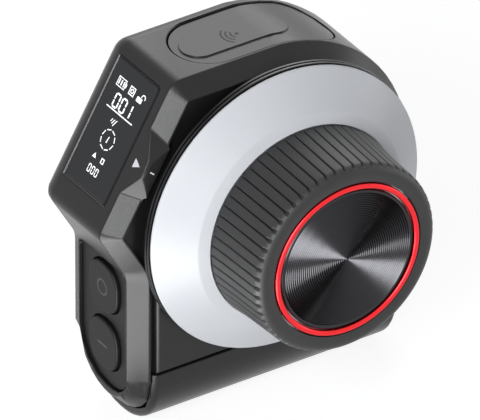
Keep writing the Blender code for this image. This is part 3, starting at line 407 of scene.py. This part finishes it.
def round_edges(obj, width_mm, angle=30.0, segments=2, smooth=None):
    """Round the edges sharper than an angle where there is room, and keep the flats flat."""
    only(obj)
    bpy.ops.object.mode_set(mode="EDIT")
    mesh = bmesh.from_edit_mesh(obj.data)
    weight = mesh.edges.layers.float.new("bevel_weight_edge")
    sharp = {edge for edge in mesh.edges if len(edge.link_faces) == 2
             and edge.calc_face_angle(0.0) > math.radians(angle)}
    crowded = {vert for edge in sharp for vert in edge.verts
               if not roundable(vert, sharp, 0.5 * width_mm * MM)}
    chosen = [edge for edge in sharp if not crowded & set(edge.verts)]
    for edge in chosen:
        edge[weight] = 1.0
    bmesh.update_edit_mesh(obj.data)
    bpy.ops.object.mode_set(mode="OBJECT")
    print(obj.name, "rounds", len(chosen), "of", len(sharp), "sharp edges")
    rounding = obj.modifiers.new("edge rounds", "BEVEL")
    rounding.width = width_mm * MM
    rounding.segments = segments
    rounding.limit_method = "WEIGHT"
    rounding.use_clamp_overlap = False
    bpy.ops.object.modifier_apply(modifier=rounding.name)
    bpy.ops.object.shade_smooth_by_angle(angle=math.radians(smooth or angle + 10.0))
    flats = obj.modifiers.new("flat faces stay flat", "WEIGHTED_NORMAL")
    flats.keep_sharp = True
    bpy.ops.object.modifier_apply(modifier=flats.name)
    return obj


# %% Finishing a piece
def dress(obj, mat, body, *stands_for):
    """Give a finished piece its material and body, and hide the solids it stands for."""
    obj.data.materials.clear()
    obj.data.materials.append(mat)
    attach(obj, body)
    if stands_for:
        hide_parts(*stands_for)
    print(obj.name, "faces:", len(obj.data.polygons))


# %% Turning on the lathe
MERGE = 0.002 * MM                      # vertices closer than this are one


def lathe(name, outline, steps=192):
    """Draw a closed outline of (radius, depth) in millimetres point by point, and spin it."""
    start = at(outline[0][0], outline[0][1], 0.0)
    bpy.ops.mesh.primitive_plane_add(size=MM, location=start)
    obj = bpy.context.object
    obj.name = name
    bpy.ops.object.transform_apply(location=True)
    bpy.ops.object.mode_set(mode="EDIT")
    bpy.ops.mesh.select_all(action="SELECT")
    bpy.ops.mesh.merge(type="CENTER")
    here = outline[0]
    for point in outline[1:] + outline[:1]:
        move = ((point[0] - here[0]) * MM, (point[1] - here[1]) * MM, 0.0)
        bpy.ops.mesh.extrude_region_move(TRANSFORM_OT_translate={"value": move})
        here = point
    bpy.ops.mesh.select_all(action="SELECT")
    bpy.ops.mesh.remove_doubles(threshold=MERGE)
    bpy.ops.mesh.select_all(action="SELECT")
    bpy.ops.mesh.spin(steps=steps, angle=math.tau, center=AXIS, axis=(0.0, 1.0, 0.0))
    bpy.ops.mesh.select_all(action="SELECT")
    bpy.ops.mesh.remove_doubles(threshold=MERGE)
    bpy.ops.mesh.normals_make_consistent(inside=False)
    bpy.ops.object.mode_set(mode="OBJECT")
    obj.data.name = name
    return obj


# %% Softening a moulded solid
WELD, FLAT = 0.01 * MM, math.radians(0.5)     # corners so close and faces so flat are joined


def softened(node, name, width_mm, angle=30.0, segments=2):
    """A copy of a solid with its doubles merged, its flats joined and its edges rounded."""
    obj = nodes[node].copy()
    obj.data = nodes[node].data.copy()
    obj.name = name
    obj.parent = None
    scene.collection.objects.link(obj)
    only(obj)
    bpy.ops.object.mode_set(mode="EDIT")
    bpy.ops.mesh.select_all(action="SELECT")
    bpy.ops.mesh.remove_doubles(threshold=WELD)
    bpy.ops.mesh.dissolve_limited(angle_limit=FLAT)
    bpy.ops.object.mode_set(mode="OBJECT")
    return round_edges(obj, width_mm, angle, segments)


# %% [markdown]
# ## The white ring and its carrier
#
# The marking ring is a shallow cone of white POM that can be written on with a pencil and wiped
# clean. It is turned, so its edges have small even rounds. Next to the grip a narrower and flatter
# band rises to the foot of the rubber. The black carrier behind the ring has a thin groove in its
# rim.

# %% Marking ring and carrier
marking = lathe("turned_marking_ring", [
    (32.5, -2.5), (32.5, -3.0), (25.1, -8.65), (24.6, -8.95), (22.6, -9.7), (22.35, -9.7),
    (22.35, -7.2), (24.1, -7.2), (30.25, -2.5)], 240)
round_edges(marking, 0.22, 45.0, 3, 32.0)
dress(marking, white_pom, "handwheel", "marking_ring")
carrier = lathe("turned_carrier", [
    (6.3, -0.5), (32.7, -0.5), (32.7, -1.2), (32.2, -1.2), (32.2, -1.5), (32.7, -1.5), (32.7, -2.2),
    (6.3, -2.2)], 240)
round_edges(carrier, 0.12, 30.0, 2)
dress(carrier, gloss_abs, "handwheel", "ring_carrier")

# %% [markdown]
# ## The ribbed grip
#
# The grip is a rubber tyre moulded over the hub. Sixty narrow grooves run from its foot towards
# the front and end in small round scallops on the lip, so that the front face itself stays smooth.
# The drum is turned first with sixteen faces to a rib, and then the rows of each groove are pushed
# in.

# %% Grip
RIBS, COLUMNS = 60, 16                  # ribs round the grip, and face columns to each rib
LIP_START, LIP_ROUND, FRONT_RADIUS = -24.6, 2.0, 21.6
SKIN = 20.4                             # the outer skin lies beyond this radius
FOOT, NECK, MIDDLE, FORE = -9.85, -10.6, -15.0, -19.6       # depths of the drum's rows
lip = []
for degrees in (10, 20, 32, 44, 58, 74, 90):
    bend = math.radians(degrees)
    lip.append((FRONT_RADIUS - LIP_ROUND * (1.0 - math.cos(bend)),
                LIP_START - LIP_ROUND * math.sin(bend)))
grip = lathe("ribbed_grip", [
    (19.3, -10.5), (22.12, -10.45), (22.12, -9.95), (22.3, FOOT), (22.27, NECK), (22.0, MIDDLE),
    (21.8, FORE), (FRONT_RADIUS, LIP_START)] + lip +
    [(18.2, -26.6), (17.8, -26.4), (17.8, -25.3), (19.3, -25.3)], RIBS * COLUMNS)
bpy.ops.object.mode_set(mode="EDIT")
groove_depths = {      # for each row, how deep its vertices lie, from a groove's middle outwards
    FOOT: (0.12,), NECK: (0.50, 0.10), MIDDLE: (0.50, 0.10), FORE: (0.50, 0.10),
    LIP_START: (0.52, 0.22), lip[0][1]: (0.54, 0.44, 0.20), lip[1][1]: (0.52, 0.48, 0.36, 0.16),
    lip[2][1]: (0.36, 0.34, 0.28, 0.14)}


def column_of(place):
    """Which column of its rib a vertex stands on, counted from the middle of the groove."""
    turned = math.atan2(place.z - AXIS.z, place.x - AXIS.x) / math.tau
    column = round(turned * RIBS * COLUMNS) % COLUMNS
    return min(column, COLUMNS - column)


for depth_y, depths in groove_depths.items():
    for column, depth in enumerate(depths):
        pick(grip, lambda co: abs(co.y - at(0, depth_y, 0).y) < NEAR
             and column_of(co) == column and off_axis(co) > SKIN * MM)
        share = 1.0 - depth / FRONT_RADIUS
        bpy.ops.transform.resize(value=(share, 1.0, share), center_override=AXIS)
bpy.ops.object.mode_set(mode="OBJECT")
only(grip)
bpy.ops.object.shade_smooth_by_angle(angle=math.radians(28.0))
dress(grip, tread_rubber, "handwheel", "rubber_grip")

# %% [markdown]
# ## The red ring and the grooved cap
#
# The red ring is a thin bevelled hoop of anodised aluminium pressed into the grip. Inside it the
# black cap lies a little deeper, and a tool has cut thirty V-grooves into it, one inside the
# other. Their flanks face the lamp only in two opposite fans, which is the bow tie that such discs
# always show.

# %% Red ring
hoop = lathe("turned_red_ring", [
    (16.3, -25.2), (17.5, -25.2), (17.5, -26.5), (17.2, -26.8), (16.6, -26.8), (16.3, -26.5)], 240)
round_edges(hoop, 0.12, 25.0, 2)
dress(hoop, red_anodised, "handwheel", "accent_ring")

# %% Grooved cap
GROOVES, GROOVE_PITCH, GROOVE_DEPTH = 30, 0.50, 0.275
CAP_BACK, CAP_FRONT, FIRST_CREST, TIP = -25.2, -26.3, 15.3, 0.02
cap_outline = [(16.0, CAP_BACK), (16.0, -26.1), (15.8, CAP_FRONT), (FIRST_CREST, CAP_FRONT)]
for count in range(GROOVES):
    crest = FIRST_CREST - count * GROOVE_PITCH
    cap_outline += [(crest - GROOVE_PITCH / 2.0, CAP_FRONT + GROOVE_DEPTH),
                    (crest - GROOVE_PITCH, CAP_FRONT)]
cap_outline += [(TIP, CAP_FRONT), (TIP, CAP_BACK)]
cap = lathe("grooved_cap", cap_outline, 144)
half_deep = at(0, -25.8, 0).y
bpy.ops.object.mode_set(mode="EDIT")
for in_front in (True, False):          # the tiny hole in the middle is closed on both sides
    pick(cap, lambda co: off_axis(co) < NEAR and (co.y < half_deep) == in_front)
    bpy.ops.mesh.merge(type="CENTER")
bpy.ops.object.mode_set(mode="OBJECT")
only(cap)
bpy.ops.object.shade_smooth_by_angle(angle=math.radians(30.0))
dress(cap, black_turned, "handwheel", "end_cap")

# %% [markdown]
# ## Moulded pieces with rounded edges
#
# The housing, the plate, the covers and the keys come out of moulds, and a mould's cutter leaves a
# small round on every edge. Each is a copy of its solid. Its edges get a round of a width in
# millimetres where they are sharper than an angle in degrees.

# %% Moulded pieces
for node, name, width, angle, mat, body in (
        ("main_housing", "moulded_housing", 0.30, 24.0, shell_abs, "base"),
        ("front_plate", "moulded_front_plate", 0.15, 35.0, plate_abs, "base"),
        ("bottom_shell", "moulded_bottom_shell", 0.22, 35.0, shell_abs, "base"),
        ("antenna_cover", "moulded_antenna_cover", 0.10, 35.0, cover_abs, "base"),
        ("keypad_mat", "moulded_keypad_mat", 0.12, 35.0, key_silicone, "base"),
        ("rear_cover", "moulded_rear_cover", 0.15, 35.0, shell_abs, "base"),
        ("upper_key", "moulded_upper_key", 0.12, 35.0, key_silicone, "upper_key_body"),
        ("lower_key", "moulded_lower_key", 0.12, 35.0, key_silicone, "lower_key_body")):
    piece = softened(node, name, width, angle)
    dress(piece, mat, body, node)

# %% [markdown]
# ## Drawing small flat marks
#
# The picture on the display, the index arrow and the symbols are thin layers of light or ink. Each
# mark is drawn flat in millimetres on the ground plane, raised by a few hundredths, and then laid
# on the surface that carries it. A bar has its corners cut like a segment of a display.

# %% Marks: bars, frames, arcs
INK = 0.03                              # thickness of a mark in millimetres


def raise_mark(obj):
    """Give a flat mark its thickness and close it."""
    bpy.ops.mesh.select_all(action="SELECT")
    bpy.ops.mesh.extrude_region_move(TRANSFORM_OT_translate={"value": (0.0, 0.0, INK * MM)})
    bpy.ops.mesh.select_all(action="SELECT")
    bpy.ops.mesh.normals_make_consistent(inside=False)
    bpy.ops.object.mode_set(mode="OBJECT")
    return obj


def bar(length, width, corner_share=0.45):
    """A bar along x with cut corners."""
    bpy.ops.mesh.primitive_plane_add(size=MM, location=(0.0, 0.0, 0.0))
    bpy.ops.object.mode_set(mode="EDIT")
    bpy.ops.mesh.select_all(action="SELECT")
    bpy.ops.transform.resize(value=(length, width, 1.0))
    bpy.ops.mesh.bevel(offset=width * corner_share * MM, segments=1, affect="VERTICES")
    return raise_mark(bpy.context.object)


def frame_mark(width, height, line):
    """A rectangular outline with a line of that width."""
    bpy.ops.mesh.primitive_plane_add(size=MM, location=(0.0, 0.0, 0.0))
    bpy.ops.object.mode_set(mode="EDIT")
    bpy.ops.mesh.select_all(action="SELECT")
    bpy.ops.transform.resize(value=(width, height, 1.0))
    bpy.ops.mesh.inset(thickness=line * MM)
    bpy.ops.mesh.delete(type="FACE")
    return raise_mark(bpy.context.object)


def arc_mark(radius, line, first, last, steps=16):
    """Part of a ring about the origin, between two angles in degrees."""
    bpy.ops.mesh.primitive_plane_add(size=MM, location=(0.0, 0.0, 0.0))
    obj = bpy.context.object
    bpy.ops.object.mode_set(mode="EDIT")
    pick(obj, lambda co: co.y > 0.0)
    bpy.ops.mesh.delete(type="VERT")
    bpy.ops.mesh.select_all(action="SELECT")
    bpy.ops.transform.resize(value=(line, 1.0, 1.0), center_override=(0.0, 0.0, 0.0))
    bpy.ops.transform.translate(value=(radius * MM, 0.5 * MM, 0.0))
    start = math.radians(last)
    mesh = bmesh.from_edit_mesh(obj.data)
    for vert in mesh.verts:
        vert.co = Matrix.Rotation(start, 3, "Z") @ vert.co
    bmesh.update_edit_mesh(obj.data)
    bpy.ops.mesh.spin(steps=steps, angle=math.radians(last - first), center=(0.0, 0.0, 0.0),
                      axis=(0.0, 0.0, 1.0))
    if last - first >= 360:
        bpy.ops.mesh.select_all(action="SELECT")
        bpy.ops.mesh.remove_doubles(threshold=MERGE)
    return raise_mark(obj)


def disc_mark(radius, corners, turn=0.0):
    """A filled disc, or a polygon with few corners, about the origin."""
    bpy.ops.mesh.primitive_circle_add(vertices=corners, radius=radius * MM, fill_type="NGON",
                                      location=(0.0, 0.0, 0.0),
                                      rotation=(0.0, 0.0, math.radians(turn)))
    bpy.ops.object.transform_apply(rotation=True)
    bpy.ops.object.mode_set(mode="EDIT")
    return raise_mark(bpy.context.object)


def placed(mark, x, y, turn=0.0, keep=True):
    """A copy of a mark with its own mesh, turned and moved within the drawing."""
    obj = mark.copy() if keep else mark
    if keep:
        obj.data = mark.data.copy()
        scene.collection.objects.link(obj)
    obj.data.transform(Matrix.Translation((x * MM, y * MM, 0.0))
                       @ Matrix.Rotation(math.radians(turn), 4, "Z"))
    return obj


def lay(name, marks, origin, right, up, lift_mm=0.01):
    """Join the marks of a drawing and lay it on a surface: x goes right, y goes up."""
    bpy.ops.object.select_all(action="DESELECT")
    for mark in marks:
        mark.select_set(True)
    bpy.context.view_layer.objects.active = marks[0]
    if len(marks) > 1:
        bpy.ops.object.join()
    obj = bpy.context.view_layer.objects.active
    obj.name = name
    right, up = right.normalized(), up.normalized()
    out = right.cross(up)
    turn = Matrix((right, up, out)).transposed().to_4x4()
    obj.matrix_world = Matrix.Translation(origin + out * lift_mm * MM) @ turn
    bpy.ops.object.transform_apply(location=True, rotation=True, scale=True)
    return obj


def throw_away(*patterns):
    """Remove the patterns that only copies were made of."""
    for pattern in patterns:
        bpy.data.objects.remove(pattern, do_unlink=True)


# %% [markdown]
# ## What the display shows
#
# The display is a small monochrome panel whose picture is white on near black: a row of status
# icons, a big number in seven bars per digit, a line, a gauge with a hand, and a small counter.
# The digits are plain numerals. The bars are copies of one bar, as on a real segment display. All
# places are in millimetres from the window's middle, x to the right and y up.

# %% Digits
SEGMENTS = {0: "abcdef", 1: "bc"}       # which of the seven bars of a digit are lit
ICON_ROW, NUMBER_ROW, LINE_ROW, COUNTER_ROW = 9.4, 5.7, 3.72, -9.2     # heights of the rows


def digit(value, one_bar, width, height, x, y):
    """A digit about a middle point, made of copies of one bar."""
    half, quarter = width / 2.0, height / 4.0
    spots = {"a": (0.0, 2 * quarter, 0), "b": (half, quarter, 90), "c": (half, -quarter, 90),
             "d": (0.0, -2 * quarter, 0), "e": (-half, -quarter, 90), "f": (-half, quarter, 90)}
    return [placed(one_bar, x + spots[key][0], y + spots[key][1], spots[key][2])
            for key in SEGMENTS[value]]


glow = []
big, small = bar(1.34, 0.40), bar(0.74, 0.22)
for value, x in ((0, -2.5), (0, -0.1), (1, 2.0)):
    glow += digit(value, big, 1.55, 2.9, x, NUMBER_ROW)
for x in (-1.3, 0.0, 1.3):
    glow += digit(0, small, 0.75, 1.6, x, COUNTER_ROW)
print("digit bars:", len(glow))

# %% Icons, line and gauge
SHARP = 0.1                             # corner share of the thin bars
GAUGE_X, GAUGE_Y, GAUGE_RADIUS, DASHES = 0.1, -2.07, 2.1, 8


def add(mark, x, y, turn=0.0):
    """Move a mark to its place and light it."""
    glow.append(placed(mark, x, y, turn, keep=False))


add(bar(9.4, 0.26, SHARP), 0.0, LINE_ROW)
add(frame_mark(2.9, 2.1, 0.20), -3.4, ICON_ROW)                   # a battery with three full cells
cell_bar = bar(1.2, 0.36, SHARP)
for x in (-4.25, -3.4, -2.55):
    glow.append(placed(cell_bar, x, ICON_ROW, 90))
add(bar(0.9, 0.3, SHARP), -1.8, ICON_ROW, 90)
add(frame_mark(1.9, 1.9, 0.24), 0.5, ICON_ROW)                    # a ring in a square
add(arc_mark(0.42, 0.22, 0, 360, 16), 0.5, ICON_ROW)
add(bar(1.8, 1.1, SHARP), 3.5, 8.9)                               # an open lock
add(arc_mark(0.60, 0.24, -20, 190, 12), 4.45, 9.75)
for count, x in enumerate((-1.35, -0.72, -0.09)):                 # three strokes that grow
    add(bar(0.8 + 0.45 * count, 0.22, SHARP), x, 1.85 - 0.1 * count, 62)
dash = bar(1.22, 0.24, SHARP)
for count in range(DASHES):
    angle = (count + 0.5) * 360.0 / DASHES
    glow.append(placed(dash, GAUGE_X + GAUGE_RADIUS * math.cos(math.radians(angle)),
                       GAUGE_Y + GAUGE_RADIUS * math.sin(math.radians(angle)), angle + 90.0))
add(bar(1.5, 0.26, SHARP), GAUGE_X, GAUGE_Y, 80)                  # the gauge's hand
add(disc_mark(0.72, 3), -1.45, -6.5)                              # a triangle and a square
add(frame_mark(1.1, 1.2, 0.25), 1.45, -6.4)
throw_away(big, small, cell_bar, dash)

# %% Lay the picture on the display
up_slope = Vector((math.cos(SLOPE), 0.0, math.sin(SLOPE)))
across = Vector((0.0, -1.0, 0.0))
outward = across.cross(up_slope)
window_low, window_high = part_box("display_window")
window_middle = (window_low + window_high) / 2.0
face_level = max(v.co.dot(outward) for v in nodes["display_window"].data.vertices)
window_middle += outward * (face_level - window_middle.dot(outward))
picture = lay("display_picture", glow, window_middle, across, up_slope)
dress(picture, lit_white, "base")

# %% [markdown]
# ## The rim round the window
#
# A thin polished rim holds the window in its recess. Its top slopes down to the glass, so the side
# that faces the lamp draws one fine bright line, and the others stay dark.

# %% Window rim
REACH, RIM_WIDTH, RIM_SLOPE, RIM_DEPTH = 0.27, 0.24, 0.2, 0.5
GLASS_LONG = 27.2                       # length of the glass up the slope
glass_wide = (window_high.y - window_low.y) / MM
bpy.ops.mesh.primitive_plane_add(size=MM, location=(0.0, 0.0, 0.0))
rim = bpy.context.object
bpy.ops.object.mode_set(mode="EDIT")
bpy.ops.mesh.select_all(action="SELECT")
bpy.ops.transform.resize(value=(glass_wide + 2.0 * REACH, GLASS_LONG + 2.0 * REACH, 1.0))
bpy.ops.mesh.inset(thickness=RIM_WIDTH * MM)
bpy.ops.transform.translate(value=(0.0, 0.0, -RIM_SLOPE * MM))
bpy.ops.mesh.delete(type="FACE")
bpy.ops.mesh.select_all(action="SELECT")
bpy.ops.mesh.extrude_region_move(TRANSFORM_OT_translate={"value": (0.0, 0.0, -RIM_DEPTH * MM)})
bpy.ops.mesh.select_all(action="SELECT")
bpy.ops.mesh.normals_make_consistent(inside=False)
bpy.ops.object.mode_set(mode="OBJECT")
rim = lay("window_rim", [rim], window_middle, across, up_slope, 0.05)
dress(rim, rim_abs, "base")

# %% [markdown]
# ## Index marks and symbols
#
# A white arrow beside the display points at the marking ring, and a short white line continues it
# on the flat in front. They are pad-printed. The antenna cover carries a wave symbol in near-black,
# which is painted shade of engraved lines, and each key has a plain raised sign that a thumb can
# feel, a ring and a bar.

# %% Arrow and line
arrow = disc_mark(1.42, 3, -90.0)
bpy.ops.object.mode_set(mode="EDIT")
bpy.ops.mesh.select_all(action="SELECT")
bpy.ops.transform.resize(value=(1.0, 0.87, 1.0))
bpy.ops.object.mode_set(mode="OBJECT")
arrow = lay("index_arrow", [placed(arrow, 10.8, -2.14, keep=False)], window_middle, across,
            up_slope)
dress(arrow, white_print, "base")


def surface_at(piece, origin, way):
    """Where a straight line from a point first meets a finished piece, with the normal there."""
    inverse = piece.matrix_world.inverted()
    hit, place, normal, _ = piece.ray_cast(inverse @ origin, inverse.to_3x3() @ way)
    print("meets", piece.name, hit, tuple(round(v / MM, 2) for v in place))
    return piece.matrix_world @ place, (piece.matrix_world.to_3x3() @ normal).normalized()


housing = bpy.data.objects["moulded_housing"]
spot, normal = surface_at(housing, at(-30.25, -6.0, 17.2), Vector((0.0, 1.0, 0.0)))
up = Vector((0.0, 0.0, 1.0)) - normal * normal.z
line = lay("index_line", [placed(bar(1.25, 0.3, SHARP), 0.0, 0.0, -42, keep=False)], spot,
           up.cross(normal), up)
dress(line, white_print, "base")

# %% Wave symbol on the antenna cover
waves = [disc_mark(0.42, 24)] + [arc_mark(r, 0.36, 128, 232) for r in (1.3, 2.3, 3.3)]
cover = bpy.data.objects["moulded_antenna_cover"]
spot, normal = surface_at(cover, at(-1.7, 12.5, 50.0), Vector((0.0, 0.0, -1.0)))
symbol = lay("wave_symbol", waves, spot, Vector((1.0, 0.0, 0.0)), Vector((0.0, 1.0, 0.0)), -0.02)
# The symbol's near-black colour is painted shade of engraved lines.
dress(symbol, painted_groove_shade, "base")

# %% Signs on the keys
for key, body, marks in (("upper_key", "upper_key_body", [arc_mark(1.7, 0.5, 0, 360, 32)]),
                         ("lower_key", "lower_key_body", [bar(3.6, 0.6, 0.3)])):
    low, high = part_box(key)
    middle = Vector((low.x - 2.0 * MM, (low.y + high.y) / 2.0, (low.z + high.z) / 2.0))
    spot, normal = surface_at(bpy.data.objects["moulded_" + key], middle, Vector((1.0, 0.0, 0.0)))
    sign = lay(key + "_sign", marks, spot, Vector((0.0, -1.0, 0.0)), Vector((0.0, 0.0, 1.0)), 0.0)
    dress(sign, key_print, body)

# %% [markdown]
# ## Screws and the mounting bush
#
# Turned over, the object shows what holds it together: four screws in the back, two in the shell,
# and a brass bush with a thread. A hexagon socket is pressed into each screw's head. One screw of
# each kind is finished and the others are copies of it.

# %% Hexagon sockets
SOCKET_RADIUS, SOCKET_DEPTH = 0.72, 0.9


def shifted(obj, move):
    """Move every vertex of a piece, so that the piece itself stays at the origin."""
    only(obj)
    bpy.ops.object.mode_set(mode="EDIT")
    bpy.ops.mesh.select_all(action="SELECT")
    bpy.ops.transform.translate(value=move)
    bpy.ops.object.mode_set(mode="OBJECT")


def with_socket(node, name, outward):
    """A copy of a screw with a hexagon socket sunk into its head."""
    low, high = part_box(node)
    head = (low + high) / 2.0
    axis = 1 if outward.y else 2
    head[axis] = high[axis] if outward[axis] > 0.0 else low[axis]
    piece = softened(node, name, 0.06, 30.0)
    bpy.ops.mesh.primitive_cylinder_add(vertices=6, radius=SOCKET_RADIUS * MM,
                                        depth=2.0 * SOCKET_DEPTH * MM, location=head,
                                        rotation=outward.to_track_quat("Z", "Y").to_euler())
    punch = bpy.context.object
    only(piece)
    sinking = piece.modifiers.new("hexagon socket", "BOOLEAN")
    sinking.operation = "DIFFERENCE"
    sinking.object = punch
    bpy.ops.object.modifier_apply(modifier=sinking.name)
    throw_away(punch)
    only(piece)
    bpy.ops.object.shade_smooth_by_angle(angle=math.radians(40.0))
    return piece


for kind, count, outward in (("cover_screw_", 4, Vector((0.0, 1.0, 0.0))),
                             ("shell_screw_", 2, Vector((0.0, 0.0, -1.0)))):
    first = with_socket(kind + "1", "socket_" + kind + "1", outward)
    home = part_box(kind + "1")[0]
    for number in range(2, count + 1):
        twin = first.copy()
        twin.data = first.data.copy()
        twin.name = "socket_%s%d" % (kind, number)
        scene.collection.objects.link(twin)
        shifted(twin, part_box("%s%d" % (kind, number))[0] - home)
        dress(twin, steel_black, "base", "%s%d" % (kind, number))
    dress(first, steel_black, "base", kind + "1")

# %% Threaded bush
THREAD_PITCH, THREAD_DEPTH, BORE, BUSH, FLANGE = 0.75, 0.38, 3.0, 5.0, 7.0
PLAIN, CREST_WIDTH, CHAMFER, FLANGE_DEEP = 0.4, 0.1, 0.05, 2.6
low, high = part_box("mount_insert")
bush_front, bush_back = ((value - at(0, 0, 0).y) / MM for value in (low.y, high.y))
turns = int((bush_back - bush_front - 2.0 * PLAIN) / THREAD_PITCH)
root = BORE + THREAD_DEPTH
outline = [(root, bush_front)]
for turn in range(turns):
    crest = bush_front + PLAIN + turn * THREAD_PITCH
    outline += [(BORE, crest), (BORE, crest + CREST_WIDTH), (root, crest + THREAD_PITCH / 2.0)]
outline += [(root, bush_back - CHAMFER), (root + CHAMFER, bush_back), (BUSH, bush_back),
            (BUSH, bush_front + FLANGE_DEEP), (FLANGE, bush_front + FLANGE_DEEP),
            (FLANGE, bush_front)]
bush = lathe("turned_threaded_bush", outline, 72)
only(bush)
bpy.ops.object.shade_smooth_by_angle(angle=math.radians(28.0))
shifted(bush, ((low + high) / 2.0 - AXIS) * Vector((1.0, 0.0, 1.0)))
dress(bush, brass_turned, "base", "mount_insert")

# %% [markdown]
# ## Floor
#
# The floor is a plain pale sheet, larger than the picture. It looks white to the camera except
# where the object keeps the light off it.

# %% Floor
bpy.ops.mesh.primitive_plane_add(size=3.0, location=(0.0, 0.0, 0.0))
floor = bpy.context.object
floor.name = "studio_floor"
paper, tree, shader = finish_of("white paper floor", "#e6e6e6", 0.9)
glow_white = put(tree, "ShaderNodeEmission", Color=(1.0, 1.0, 1.0, 1.0), Strength=0.84)
grey_paper = put(tree, "ShaderNodeBsdfDiffuse", Color=linear("#a0a0a0"))
shown_paper = put(tree, "ShaderNodeAddShader", [(glow_white.outputs[0], 0),
                                                (grey_paper.outputs[0], 1)])
paper_mix = put(tree, "ShaderNodeMixShader", [(seeing(tree), "Fac"), (shader.outputs[0], 1),
                                              (shown_paper.outputs[0], 2)])
tree.links.new(paper_mix.outputs[0], tree.nodes["Material Output"].inputs["Surface"])
floor.data.materials.append(paper)
